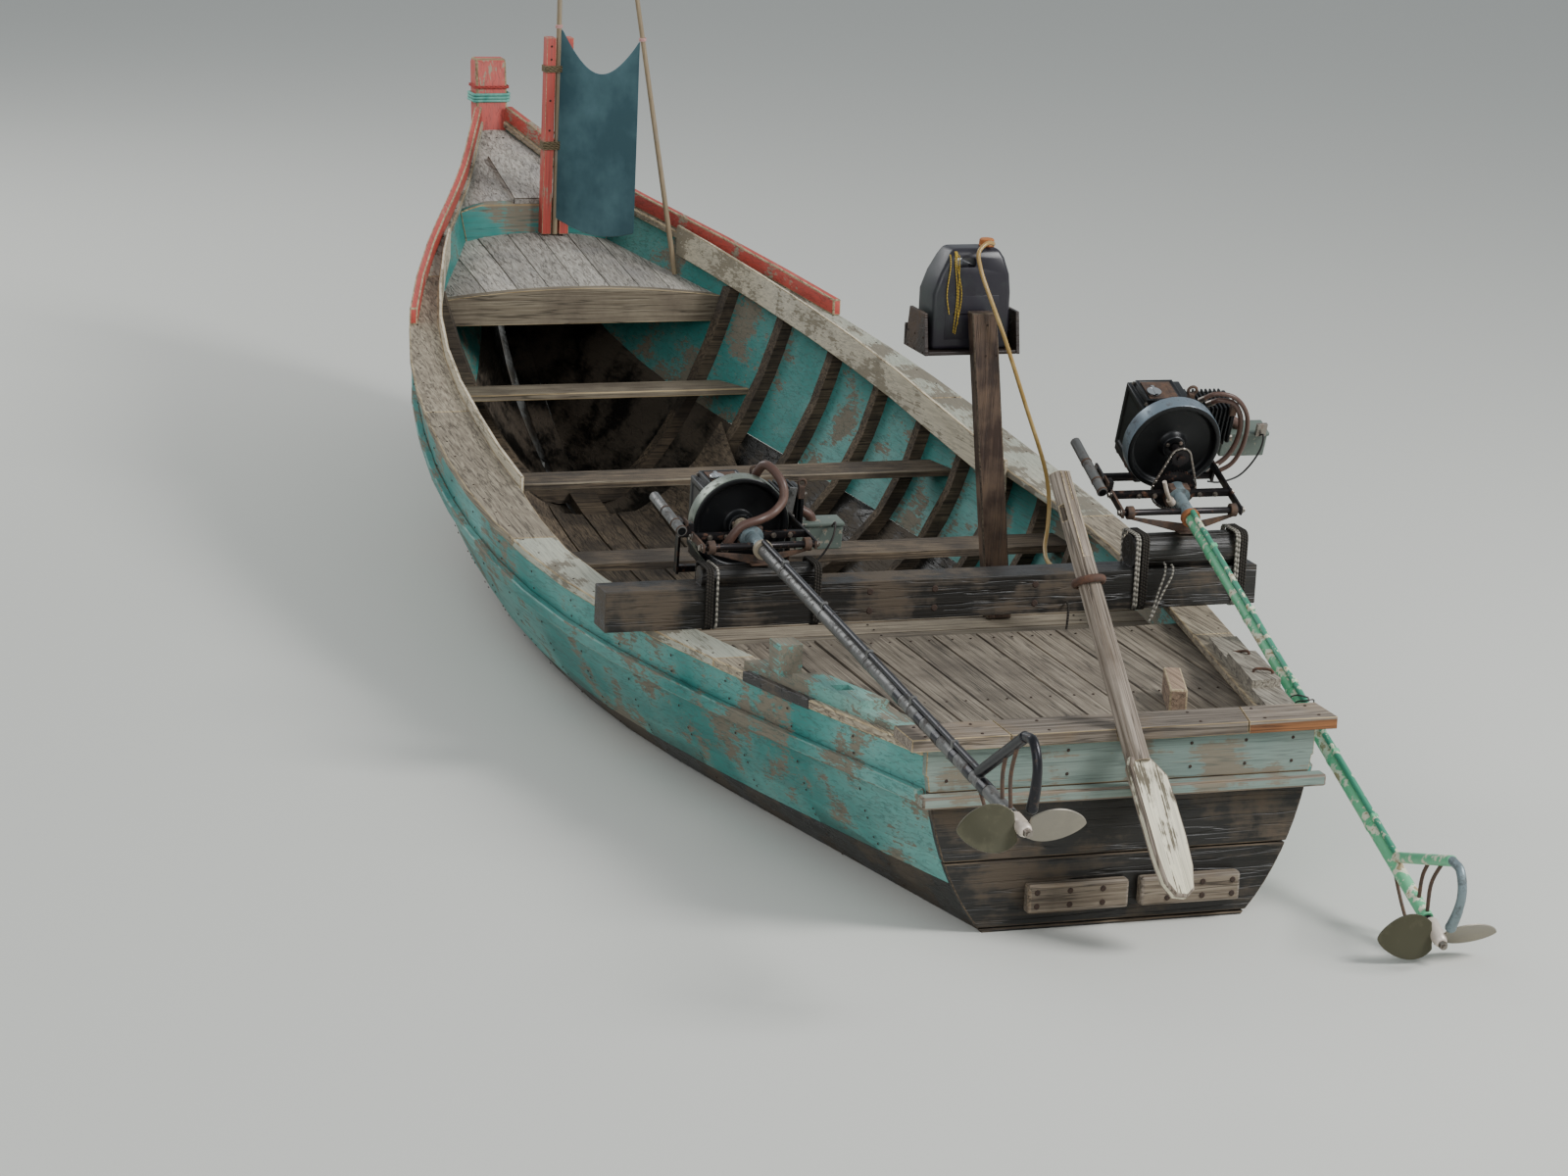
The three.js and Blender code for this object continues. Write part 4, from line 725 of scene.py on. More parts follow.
SURFACES = {
    "weathered_along": (weathered_plank, "weathered_teak_along", ALONG_X, "bare_wood",
        "dark_grain", "#857A69"),
    "deck_grey": (weathered_plank, "greyed_deck_teak", ALONG_X, "#BDB8AD", "#837C73", "#8D8A87"),
    # The next two deck colours are darkened as painted shade, for the middle and aft decks that lie in the
    # hull's shade.
    "deck_brown": (weathered_plank, "trodden_deck_teak", ALONG_Y, "#948975", "#5E5343", "#5E5346",
        {"stain_level": (0.42, 0.66)}),
    "deck_brown_along": (weathered_plank, "trodden_deck_teak_along", ALONG_X, "#8F8575",
        "#5A5145", "#544B41", {"stain_level": (0.42, 0.66)}),
    "hold_wood": (weathered_plank, "oily_hold_teak", ALONG_Y, "#7A6A55", "#3F352B", "#2E2823",
        {"stain_level": (0.4, 0.6)}),
    "hold_wood_along": (weathered_plank, "oily_hold_teak_along", ALONG_X, "#7C6C58", "#43392F", "#332C26",
        {"stain_level": (0.4, 0.6)}),
    "fresh_edge": (weathered_plank, "rubbed_teak_edge", ALONG_X, "#C6B695", "#8F7B5C", "#7D6C53"),
    "fresh_edge_across": (weathered_plank, "rubbed_teak_edge_across", ALONG_Y, "#BCA985",
        "#86714F", "#75634A"),
    "teal_along": (painted_plank, "teal_oil_paint_along", ALONG_X, "teal", "teal_light", "#8C8473", 0.32),
    "teal_across": (painted_plank, "teal_oil_paint_across", ALONG_Y, "teal", "teal_light", "#8C8473", 0.34),
    "teal_worn": (painted_plank, "worn_teal_oil_paint", ALONG_X, "#5E9C92", "#93B5A8", "#8C8473", 0.46),
    "pale_teal_across": (painted_plank, "pale_teal_wash", ALONG_Y, "#75877F", "#8B958A", "#8C8473", 0.34,
        (0.06, 0.075, 0.07), {"roughness": 0.78}),
    "gunwale_inner": (painted_plank, "grey_green_wash", ALONG_X, "#A9AC9C", "#BDB9A6", "#8C8473", 0.4,
        {"roughness": 0.8}),
    "red_along": (painted_plank, "red_oil_paint_along", ALONG_X, "red", "#C4574D", "bare_wood", 0.18),
    "red_upright": (painted_plank, "red_oil_paint_upright", ALONG_Z, "red", "#C4574D", "bare_wood", 0.16),
    "cream_along": (painted_plank, "cream_oil_paint", ALONG_X, "cream", "#E3DAC6", "bare_wood", 0.34),
    "tar_along": (tarred_plank, "tarred_planks_along", ALONG_X, "tar", "#5B5043"),
    "tar_across": (tarred_plank, "tarred_planks_across", ALONG_Y, "tar", "#55493B", (0.66, 0.8)),
    "cap_across": (weathered_plank, "weathered_cap_across", ALONG_Y, "#958A7C", "#564C42", "#7E6A50",
        {"stain_level": (0.46, 0.7)}),
    "orange_wood": (weathered_plank, "raw_orange_plank", ALONG_Y, "#94623A", "#5A3A22", "#8A6238"),
    "pad_wood": (weathered_plank, "weathered_pad_wood", ALONG_Y, "#8D8170", "#55493C", "#4A4138"),
    "black_pad": (tarred_plank, "oily_chafing_wood", ALONG_X, "#1D1A18", "#6B5F50", (0.7, 0.85)),
    "ring_rust": (rusted_metal, "rusted_ring", "#473329", "#593C2D", (0.4, 0.6), 0.7, 0.2),
    "coupling_beige": (rusted_metal, "greased_beige_coupling", "#A39884", "#5A4B3D", (0.52, 0.66), 0.5,
        0.3),
    "grey_block": (weathered_plank, "greyed_quarter_block", ALONG_X, "#A09A8B", "#5F574C", "#6E675B"),
    "chock_wood": (weathered_plank, "brown_chock", ALONG_X, "#A48C76", "#6E5B4A", "#7D6A58"),
    "pied_cord": (laid_rope, "black_and_white_cord", "#B9B3A6", "#1A1817", 260.0),
    "iron": (rusted_metal, "rusted_flat_bar", "#3D342F", "#5A4334", (0.36, 0.62), 0.6, 0.4),
    "dark_steel": (rusted_metal, "oiled_mild_steel", "#2B2829", "#5E3B25", (0.55, 0.68), 0.36, 0.7),
    "worn_steel": (rusted_metal, "rubbed_mild_steel", "#8F8880", "#6B4A33", (0.55, 0.7), 0.34, 0.9),
    "engine_black": (rusted_metal, "oily_black_cast_iron", "#131416", "#3A2B20", (0.6, 0.75), 0.34,
        0.35, 34.0),
    "box_green": (chipped_enamel, "grey_green_enamel", "#4C5750", "#6A746B", "#8A8576", "rust",
        (0.6, 0.63), 0.5, 38.0),
    "tube_green": (chipped_enamel, "chipped_green_enamel", "tube_green", "#84C79C", "#D5D6BE", "#9A8560",
        (0.53, 0.56), {"scale": 13.0}),
    "tube_dark_green": (chipped_enamel, "worn_green_enamel", "#2E7A60", "#4C9A7B", "#D2D3B6", "#94703F",
        (0.54, 0.57)),
    "blue_grey": (rusted_metal, "galvanised_stub", "#7C8B8F", "#4B4F4F", (0.5, 0.66), 0.45, 0.6),
    "collar_rust": (rusted_metal, "orange_rusted_collar", "#7C5640", "#9A6038", (0.36, 0.5), 0.7, 0.2,
        60.0),
    "brown_rod": (rusted_metal, "brown_rusted_rod", "#50433A", "#5E4839", (0.4, 0.6), 0.65, 0.3, 40.0),
    "black_tube": (rusted_metal, "oily_black_tube", "#26262A", "#4A3A2F", (0.56, 0.7), 0.3, 0.6),
    "grey_tube": (rusted_metal, "grey_worn_tube", "#70706E", "#4B4540", (0.5, 0.66), 0.42, 0.65),
    # The next two are a lit copy and a shaded copy of the same cast bronze: painted light and painted shade
    # for the two blades.
    "blade_painted_light": (speckled_skin, "cast_bronze_grey", "#8D877B", "#A39C8C", (0.44, 0.6), 0.42, 22.0,
        0.12, 0.55),
    "blade_painted_shade": (speckled_skin, "cast_bronze_olive", "#4B4938", "#6A6650", (0.48, 0.66), 0.5, 22.0,
        0.12, 0.5),
    "hub_pale": (speckled_skin, "pale_worn_hub", "#CFC3B6", "#A89A86", (0.5, 0.66), 0.45, 40.0, 0.15, 0.3),
    "brown_hose": (speckled_skin, "brown_rubber_hose", "#513A31", "#71584B", (0.48, 0.68), 0.42, 30.0,
        0.12),
    "black_cable": (speckled_skin, "black_cable", "#1C1A1A", "#3E3632", (0.5, 0.7), 0.45, 50.0),
    "jerrycan": (speckled_skin, "moulded_polyethylene", "#221F26", "#2F3A33", (0.46, 0.72), 0.34, 9.0, 0.1),
    "cap_rust": (speckled_skin, "faded_cap_plastic", "#A8652F", "#BC8658", (0.45, 0.6), 0.6, 40.0),
    "fuel_hose": (speckled_skin, "yellowed_vinyl_hose", "#A98A50", "#C2A871", (0.45, 0.62), 0.3, 24.0,
        0.05, {"transmission_weight": 0.15}),
    "tray_wood": (tarred_plank, "oily_tray_wood", ALONG_Y, "#2A211D", "#5C4A3A", (0.64, 0.82)),
    "post_wood": (tarred_plank, "oily_post_wood", ALONG_Z, "#33261F", "#6B5643", (0.62, 0.8)),
    "bamboo": (bamboo_culm, "dried_bamboo", "#6C5B45", "#A8977A", "#8D8678"),
    "rope": (laid_rope, "coir_rope", "#8C7C5E", "#4A3F2E"),
    "dark_rope": (laid_rope, "tarred_rope", "#3A342C", "#141210"),
    "yellow_twine": (laid_rope, "yellowed_twine", "#C9A93E", "#7F6A33"),
    "wheel_black": (rusted_metal, "oily_black_wheel", "#101113", "#2C241E", (0.62, 0.78), 0.38, 0.35, 34.0),
    "rim_grey_green": (rusted_metal, "rubbed_grey_green_rim", "#7E867A", "#4F4B44", (0.52, 0.68), 0.34,
        0.6),
    "rim_blue_grey": (rusted_metal, "rubbed_blue_grey_rim", "#7C8A94", "#4A4A4C", (0.52, 0.68), 0.32, 0.6),
    # Bright metal for the slanted walls of the flywheel recesses: a painted glint, not worn metal.
    "recess_edge": (rusted_metal, "bright_recess_edge", "#9A958C", "#1A1918", (0.46, 0.56), 0.35, 0.7,
        30.0),
    "red_cord": (laid_rope, "red_cord", "#C2524A", "#7E2A26"),
    "pink_string": (laid_rope, "pink_string", "#E2B7B0", "#B98480"),
    "teal_ribbon": (speckled_skin, "teal_ribbon_cotton", "#3E8F82", "#79B3A4", (0.45, 0.6), 0.9, 30.0),
    "cotton": (woven_cotton, "faded_blue_green_cotton", "cloth", "#6E9AA0"),
    "rudder_stock": (weathered_plank, "split_rudder_teak", RUDDER_TURN, "#A3978A", "#594D40", "#5B4E40",
        1.2),
    "rudder_blade": (painted_plank, "cream_rudder_paint", RUDDER_TURN, "#D6CEB2", "#E6E0CB", "#6F6655",
        0.22, {"coarse": 1.2}),
    "chrome": (rusted_metal, "chromed_cap", "#C9CBCC", "#6B5B4B", (0.66, 0.8), 0.12, 1.0),
    "nail": (rusted_metal, "rusty_nail_heads", "#2A2522", "#3A2B22", (0.3, 0.5), 0.7, 0.3, 90.0),
}
MADE = {}


def shade(value):
    """Linear colour of a hex code or of a colour that the user has set; anything else stays."""
    if not isinstance(value, str):
        return value
    return linear(value) if value[0] == "#" else tuple(getattr(bpy.context.scene.longtail_paint, value))


def surface(name):
    """One of the boat's materials, made once from its row of the table."""
    if name not in MADE:
        maker, label, *values = SURFACES[name]
        options = values.pop() if values and isinstance(values[-1], dict) else {}
        MADE[name] = maker(label, *(shade(value) for value in values), **options)
    return MADE[name]


# Stage

CAMERA_PLACE = Vector((-13.41, 6.0483, 5.0202))
CAMERA_YAW, CAMERA_PITCH, CAMERA_ROLL = math.radians(-19.391), math.radians(14.567), math.radians(2.567)
CAMERA_LENS = 95.83


class LONGTAIL_OT_stage(bpy.types.Operator):
    """Camera at the photograph's angle, soft lights and a pale floor at the waterline"""
    bl_idname = "longtail.stage"
    bl_label = "Stage"

    def execute(self, context):
        camera = bpy.data.objects.new("camera", bpy.data.cameras.new("camera"))
        context.scene.collection.objects.link(camera)
        camera.data.sensor_width = 36
        camera.data.sensor_fit = "HORIZONTAL"
        camera.data.lens = CAMERA_LENS
        camera.data.clip_end = 200
        level = math.cos(CAMERA_PITCH)
        ahead = Vector((math.cos(CAMERA_YAW) * level, math.sin(CAMERA_YAW) * level,
            -math.sin(CAMERA_PITCH)))
        right = Vector((math.sin(CAMERA_YAW), -math.cos(CAMERA_YAW), 0))
        up = right.cross(ahead)
        tilted = math.cos(CAMERA_ROLL) * right + math.sin(CAMERA_ROLL) * up
        raised = math.cos(CAMERA_ROLL) * up - math.sin(CAMERA_ROLL) * right
        turn = Matrix((tilted, raised, -ahead)).transposed().to_4x4()
        camera.matrix_world = Matrix.Translation(CAMERA_PLACE) @ turn
        context.scene.camera = camera

        floor = block("floor", (-40, -45, -0.05), (50, 45, 0.0))
        outline = []
        for side in (1, -1):
            rim = []
            for step in range(61):
                x = 0.04 + step * 0.139
                shares = [k / 60 for k in range(61)]
                low = [s for s in shares if hull_point(x, s, side)[0].z > 0]
                if low and low[0] > 0:
                    rim.append(hull_point(x, low[0] - 0.012, side)[0] - Vector((0, side * 0.012, 0)))
            outline += rim if side > 0 else rim[::-1]
        carve(floor, thicken(outline_mesh("hull_plug", [(p.x, p.y, -0.5) for p in outline]), UP))
        material, _, shader, _ = blank_material("pale_paper_floor", 0.9)
        shader.inputs["Base Color"].default_value = (*linear("#CFCFC8"), 1)
        floor.data.materials.append(material)

        for name, place, target, size, watts in (("key", (-5.5, -9.5, 10.5), (3.2, -0.2, 0.6), 5.0, 2300),
                ("fill", (-11, 8, 7), (3.5, 0, 0.3), 9.0, 760),
                ("bow", (15, 6, 9), (6.5, 0, 0.8), 8.0, 800)):
            lamp = bpy.data.objects.new(name, bpy.data.lights.new(name, "AREA"))
            context.scene.collection.objects.link(lamp)
            lamp.data.size = size
            lamp.data.energy = watts
            lamp.location = place
            lamp.rotation_euler = (Vector(target) - Vector(place)).to_track_quat("-Z", "Y").to_euler()
        world = bpy.data.worlds.new("studio")
        world.use_nodes = True
        world.node_tree.nodes["Background"].inputs["Color"].default_value = (*linear("#DDE4EA"), 1)
        world.node_tree.nodes["Background"].inputs["Strength"].default_value = 0.62
        context.scene.world = world
        return {"FINISHED"}


# Cords

HOSE_ROUTE = (
    (2.8134, -0.520, 2.0266), (2.784, -0.520, 2.0266), (2.748, -0.478, 2.036), (2.722, -0.432, 2.004),
    (2.700, -0.436, 1.934), (2.648, -0.476, 1.796), (2.630, -0.532, 1.654), (2.635, -0.648, 1.360),
    (2.660, -0.770, 1.060), (2.650, -0.790, 0.930), (2.620, -0.778, 0.820), (2.560, -0.745, 0.750),
    (2.430, -0.715, 0.712), (2.300, -0.742, 0.718), (2.180, -0.776, 0.752), (2.0756, -0.790, 0.780),
    (2.0456, -0.790, 0.780),
)
ROPE_ENDS = (
    ("rope_end_long", (1.862, -0.560, 0.700), 0.44, 0.010, 0.06),
    ("rope_end_short", (1.862, -0.690, 0.690), 0.30, 0.008, -0.05),
    ("pied_cord_long", (1.862, -0.985, 0.850), 0.245, 0.009, 0.11),
    ("pied_cord_short", (1.862, -1.020, 0.840), 0.215, 0.009, 0.15),
)


class LONGTAIL_OT_cords(bpy.types.Operator):
    """Fuel hose from the can to the crossbeam, and the rope ends that hang from the beam"""
    bl_idname = "longtail.cords"
    bl_label = "Hose and rope ends"

    def execute(self, context):
        sizes = context.scene.longtail_sizes
        points = route(HOSE_ROUTE, 7)
        hose = curve_line("fuel_hose_line", points, sizes.hose / 2, 4)
        finish_piece(hose, "fuel_hose", "fuel_hose")
        for name, top, drop, diameter, sway in ROPE_ENDS:
            x, y, z = top
            points = route(((x, y, z), (x - 0.016, y, z - 0.006), (x - 0.030, y + sway * 0.05, z - 0.035),
                (x - 0.034, y + sway * 0.3, z - drop * 0.5), (x - 0.032, y + sway * 0.6, z - drop)), 8)
            end = curve_line(name, points, diameter / 2, 4)
            finish_piece(end, "pied_cord" if "pied" in name else "dark_rope")
        return {"FINISHED"}


# Hull

def strakes(node, name, shares, side, lift):
    """Planking with a seam between its strakes: each strake is inset and raised a little."""
    piece = mesh_copy(node, name, flatten=False)
    tree = KDTree(len(LOFT_X) * len(shares))
    for i, x in enumerate(LOFT_X):
        for k, share in enumerate(shares):
            tree.insert(hull_point(x, share, side)[0], i * len(shares) + k)
    tree.balance()
    rows = []
    for vertex in piece.data.vertices:
        _, index, distance = tree.find(vertex.co)
        rows.append(index % len(shares) if distance < 0.004 else None)
    strake = piece.data.attributes.new("strake", "INT", "FACE")
    tone = piece.data.attributes.new("tone", "FLOAT", "FACE")
    bands = [CHANCE.uniform(-1, 1) for _ in shares]
    for face in piece.data.polygons:
        found = [rows[v] for v in face.vertices]
        if None not in found and len(set(found)) == 2 and max(found) - min(found) == 1:
            strake.data[face.index].value = min(found) + 1
            tone.data[face.index].value = bands[min(found)]
    for k in range(1, len(shares)):
        values = [d.value for d in piece.data.attributes["strake"].data]
        if k not in values:
            continue
        edit(piece, lambda face: values[face.index] == k)
        bpy.ops.mesh.inset(thickness=bpy.context.scene.longtail_sizes.seam, depth=lift,
            use_boundary=True, use_even_offset=True)
        close_edit()
    return piece


def timber(node, name, main, edge, width=None):
    """A sawn timber from its CAD node, with worn edges."""
    piece = mesh_copy(node, name)
    wear_edges(piece, width or bpy.context.scene.longtail_sizes.worn_edge, edge_material=1)
    return finish_piece(piece, [main, edge], node)


def boarded(node, name, seams, gap, drop, surfaces, flatten=True):
    """A deck sawn from its CAD node into boards with worn edges."""
    piece = sawn(mesh_copy(node, f"{node}_board", flatten), seams, gap, name, drop)
    wear_edges(piece, 0.004, 1, 45, 1)
    return finish_piece(piece, surfaces, node)


def nails(name, places, diameter):
    """Nail heads, one shape copied to each point and outward normal."""
    deselect_all()
    bpy.ops.mesh.primitive_cone_add(vertices=8, radius1=diameter / 2, radius2=diameter * 0.36, depth=0.003)
    head = primitive(name)
    spots = [Matrix.Translation(Vector(at) + Vector(out).normalized() * 0.0012)
        @ Vector(out).to_track_quat("Z", "Y").to_matrix().to_4x4() for at, out in places]
    return finish_piece(joined(name, copies(head, spots)), "nail")


def paint_faces(piece, choose):
    """Gives each face the material slot that choose returns for it."""
    for face in piece.data.polygons:
        face.material_index = choose(face)


class LONGTAIL_OT_hull(bpy.types.Operator):
    """Strakes, rub rails, gunwale caps, wash rails, coamings and the keel"""
    bl_idname = "longtail.hull"
    bl_label = "Hull"

    def execute(self, context):
        sizes = context.scene.longtail_sizes
        heads = []
        for label, side in (("port", 1), ("starboard", -1)):
            bottom = strakes(f"bottom_planking_{label}", f"bottom_strakes_{label}", BOTTOM_SHARES,
                side, 0.003)
            finish_piece(bottom, "tar_along", f"bottom_planking_{label}")
            sides = strakes(f"side_planking_{label}", f"side_strakes_{label}", SIDE_SHARES, side, 0.004)
            finish_piece(sides, "teal_along", f"side_planking_{label}")
            timber(f"rub_rail_{label}", f"rubbed_rail_{label}", "teal_along", "teal_worn",
                0.007)
            self.gunwale(label, side)
            rail = timber(f"wash_rail_{label}", f"painted_wash_rail_{label}", "red_along",
                "fresh_edge", 0.008)
            smooth(rail, 40)
            timber(f"coaming_{label}", f"painted_coaming_{label}", "cream_along",
                "fresh_edge", 0.004)
            for rib in range(19):
                x = 0.45 + rib * 0.44
                for share in (0.46, 0.54, 0.62, 0.69, 0.71, 0.77, 0.79, 0.85, 0.94, 0.98):
                    at, out = hull_point(x + CHANCE.uniform(-0.012, 0.012), share, side)
                    heads.append((at + out * 0.0035, out))
            for step in range(42):
                x = 0.3 + step * 0.2
                heads.append(((x, side * (hull_line(HALF_BEAM, x) - 0.035), hull_line(SHEER, x)), UP))
        nails("hull_nail_heads", heads, sizes.nail)
        timber("keel_and_stem", "keel_timber", "tar_along", "tar_along")
        return {"FINISHED"}

    def gunwale(self, label, side):
        """The cap, sawn at its scarf joints, bare aft and washed with teal where the paint is left."""
        node = f"gunwale_cap_{label}"
        joints = (1.42, 3.32, 5.10, 6.95)
        boards = sawn(mesh_copy(node, f"cap_board_{label}"), planes(X, *joints),
            0.003, f"gunwale_boards_{label}", drop=0.0)
        wear_edges(boards, 0.006, edge_material=1)
        tints = [0, 2, 0, 0, 2] if side > 0 else [0, 0, 2, 2, 0]

        def tint(face):
            if face.material_index == 1:
                return 1
            return tints[sum(face.center.x > x for x in joints)]
        paint_faces(boards, tint)
        finish_piece(boards, ["weathered_along", "fresh_edge", "gunwale_inner"], node)


# Bow, decks and thwarts

# Centre plank of the foredeck, as the ends of its upper face on the centre line, in metres

KING_PLANK = {"start": (8.045, 0, 1.343), "end": (8.62, 0, 1.483), "half": 0.13, "thick": 0.075}


class LONGTAIL_OT_bow(bpy.types.Operator):
    """Stem post with its ribbon, foredecks sawn into planks, and their beams"""
    bl_idname = "longtail.bow"
    bl_label = "Bow"

    def execute(self, context):
        timber("stem_post", "painted_stem_post", "red_upright", "fresh_edge_across", 0.012)
        winding("stem_ribbon", (9.112, 0, 1.742), (0.074, 0.091), "z", 3, 0.0085, "teal_ribbon")
        winding("stem_cord", (9.114, 0, 1.800), (0.073, 0.091), "z", 2, 0.004, "red_cord")
        seams = [((9.35, 0, 0), (-math.sin(a), math.cos(a), 0)) for a in (-0.20, -0.075, 0.05, 0.19)]
        surfaces = ["deck_grey", "hold_wood_along"]
        boarded("foredeck", "foredeck_boards", seams, 0.007, 0.003, surfaces, False)
        start, end = Vector(KING_PLANK["start"]), Vector(KING_PLANK["end"])
        half, thick, run = KING_PLANK["half"], KING_PLANK["thick"], end - start
        plank = block("foredeck_king_plank", (0, -half, -thick), (run.length, half, 0))
        settle(plank, Matrix.Translation(start) @ Matrix.Rotation(-math.atan2(run.z, run.x), 4, "Y"))
        finish_piece(wear_edges(plank, 0.004, 1, 45, 1), surfaces)
        seams = planes(Y, -0.50, -0.33, -0.165, 0.0, 0.165, 0.33, 0.50)
        boarded("lower_foredeck", "lower_deck_boards", seams, 0.007, 0.003, surfaces, False)
        timber("foredeck_beam", "painted_deck_beam", "teal_across", "fresh_edge_across",
            0.01)
        timber("lower_deck_beam", "worn_deck_beam", "deck_brown", "fresh_edge_across",
            0.008)
        heads = []
        for x in (8.16, 8.52, 8.88):
            u, half = (x - 8.1) / 0.89, hull_line(HALF_BEAM, x) - 0.05
            for share in (-0.72, -0.30, 0.12, 0.55):
                crown = (0.092 - 0.078 * u) * (1 - (share * half / (half + 0.07)) ** 2)
                heads.append(((x, share * half, 1.262 + 0.294 * u + crown - 0.002), UP))
        nails("foredeck_nail_heads", heads, 0.012)
        return {"FINISHED"}


class LONGTAIL_OT_decks(bpy.types.Operator):
    """Ribs, floor boards, middle and aft decks and the thwarts"""
    bl_idname = "longtail.decks"
    bl_label = "Decks and thwarts"

    def execute(self, context):
        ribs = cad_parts["ribs_and_keelson"]
        ribs.data.materials.clear()
        ribs.data.materials.append(surface("hold_wood"))
        seams = planes(Y, -0.46, -0.28, -0.09, 0.09, 0.28, 0.46)
        floors = sawn(mesh_copy("floor_boards", "floor_board"), seams, 0.012, "laid_floor_boards", 0.004)
        finish_piece(floors, "hold_wood_along", "floor_boards")
        seams = planes(X, 2.22, 2.39, 2.55, 2.73, 2.89, 3.06, 3.22)
        boarded("middle_deck", "middle_deck_boards", seams, 0.009, 0.005, ["deck_brown", "hold_wood"])
        seams = planes(Y, -0.86, -0.69, -0.50, -0.33, -0.15, 0.04, 0.2, 0.37, 0.55, 0.72, 0.9)
        boarded("aft_deck", "aft_deck_boards", seams, 0.007, 0.004, ["deck_brown_along", "hold_wood_along"])
        timber("thwart_aft", "aft_thwart_plank", "hold_wood", "deck_brown", 0.007)
        timber("thwart_middle", "middle_thwart_plank", "hold_wood", "deck_brown", 0.007)
        timber("thwart_fore", "fore_thwart_plank", "deck_brown", "fresh_edge_across",
            0.007)
        heads = []
        for x in (2.13, 2.30, 2.47, 2.64, 2.81, 2.97, 3.14, 3.30):
            heads += [((x + dx, y, 0.4085), UP) for dx in (-0.04, 0.04) for y in (-0.95, 0.0, 0.95)]
        for y in (-0.94, -0.77, -0.6, -0.41, -0.24, -0.06, 0.12, 0.29, 0.46, 0.63, 0.81):
            heads += [((x, y + dy, 0.597), UP) for dy in (-0.04, 0.04)
                for x in (0.9, 1.75) if abs(y) < hull_line(HALF_BEAM, x) - 0.2]
        nails("deck_nail_heads", heads, 0.011)
        return {"FINISHED"}


def winding(name, centre, half, axis, turns, radius, material, pitch=2.02, corner=None):
    """Cord wound tightly round a squared timber whose length runs along an axis."""
    corner = corner or radius * 2.5
    reach = [h + radius * 1.02 for h in half]
    loop = []
    for sx, sy, start in ((1, 1, 0), (-1, 1, 90), (-1, -1, 180), (1, -1, 270)):
        for k in range(4):
            out, up = around(corner, start + 30 * k)
            loop.append((sx * (reach[0] - corner) + out, sy * (reach[1] - corner) + up))
    points = []
    for turn in range(turns):
        for k, (u, v) in enumerate(loop):
            along = (turn + k / len(loop) - turns / 2) * radius * pitch
            points.append({"x": (along, u, v), "y": (u, along, v), "z": (u, v, along)}[axis])
    centre = Vector(centre)
    points = [centre + Vector(p) for p in points]
    piece = tube(name, points, radius, 8)
    return finish_piece(piece, material)


# Stern

class LONGTAIL_OT_stern(bpy.types.Operator):
    """Transom, its ledge and cap, the rudder pads and the stepped blocks on the quarters"""
    bl_idname = "longtail.stern"
    bl_label = "Stern"

    def execute(self, context):
        board = sawn(mesh_copy("transom_board", "transom_plank"), planes(UP, 0.015, 0.275),
            0.006, "transom_planks", 0.0)
        wear_edges(board, 0.005, edge_material=1)
        finish_piece(board, ["tar_across", "hold_wood"], "transom_board")
        timber("transom_top_plank", "washed_transom_plank", "pale_teal_across",
            "fresh_edge_across")
        timber("transom_ledge", "transom_ledge_timber", "pale_teal_across", "cap_across",
            0.009)
        cap = sawn(mesh_copy("transom_cap", "cap_plank"),
            [((0, -0.50, 0), (0.25, 1, 0)), ((0, 0.46, 0), (0, 1, 0))], 0.004, "transom_cap_planks", 0.0)
        low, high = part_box("transom_cap")
        split = high[2] - 0.42 * (high[2] - low[2])
        edit(cap)
        bpy.ops.mesh.bisect(plane_co=(0, 0, split), plane_no=(0, 0.012, 1), use_fill=False)
        close_edit()
        wear_edges(cap, 0.008, edge_material=1)
        paint_faces(cap, lambda f: 2 if f.normal.x < -0.5 and f.center.z < split and f.center.y < -0.5
            else f.material_index)
        finish_piece(cap, ["cap_across", "fresh_edge_across", "orange_wood"],
            "transom_cap")
        for label in ("port", "starboard"):
            timber(f"rudder_pad_{label}", f"rudder_guide_{label}", "pad_wood",
                "cap_across", 0.012)
            block_piece = mesh_copy(f"quarter_block_{label}", f"stepped_block_{label}", flatten=False)
            wear_edges(block_piece, 0.004, 2, 50, 1)
            finish_piece(block_piece, ["teal_worn" if label == "port" else "grey_block",
                "fresh_edge"], f"quarter_block_{label}")
        heads = [((-0.0955, y, z), AFT) for y in (0.33, 0.2, 0.07, -0.19, -0.33, -0.45)
            for z in (0.105, 0.158)]
        nails("pad_spike_heads", heads, 0.024)
        heads = [((-0.0425, y, z), AFT) for y in (-0.68, -0.49, -0.27, 0.22, 0.47, 0.69)
            for z in (0.59, 0.68)]
        heads += [((x, y, 0.7605), UP) for x in (-0.04, 0.08)
            for y in (-0.78, -0.56, -0.3, 0.3, 0.56, 0.78)]
        nails("transom_nail_heads", heads, 0.014)
        return {"FINISHED"}


# Crossbeam

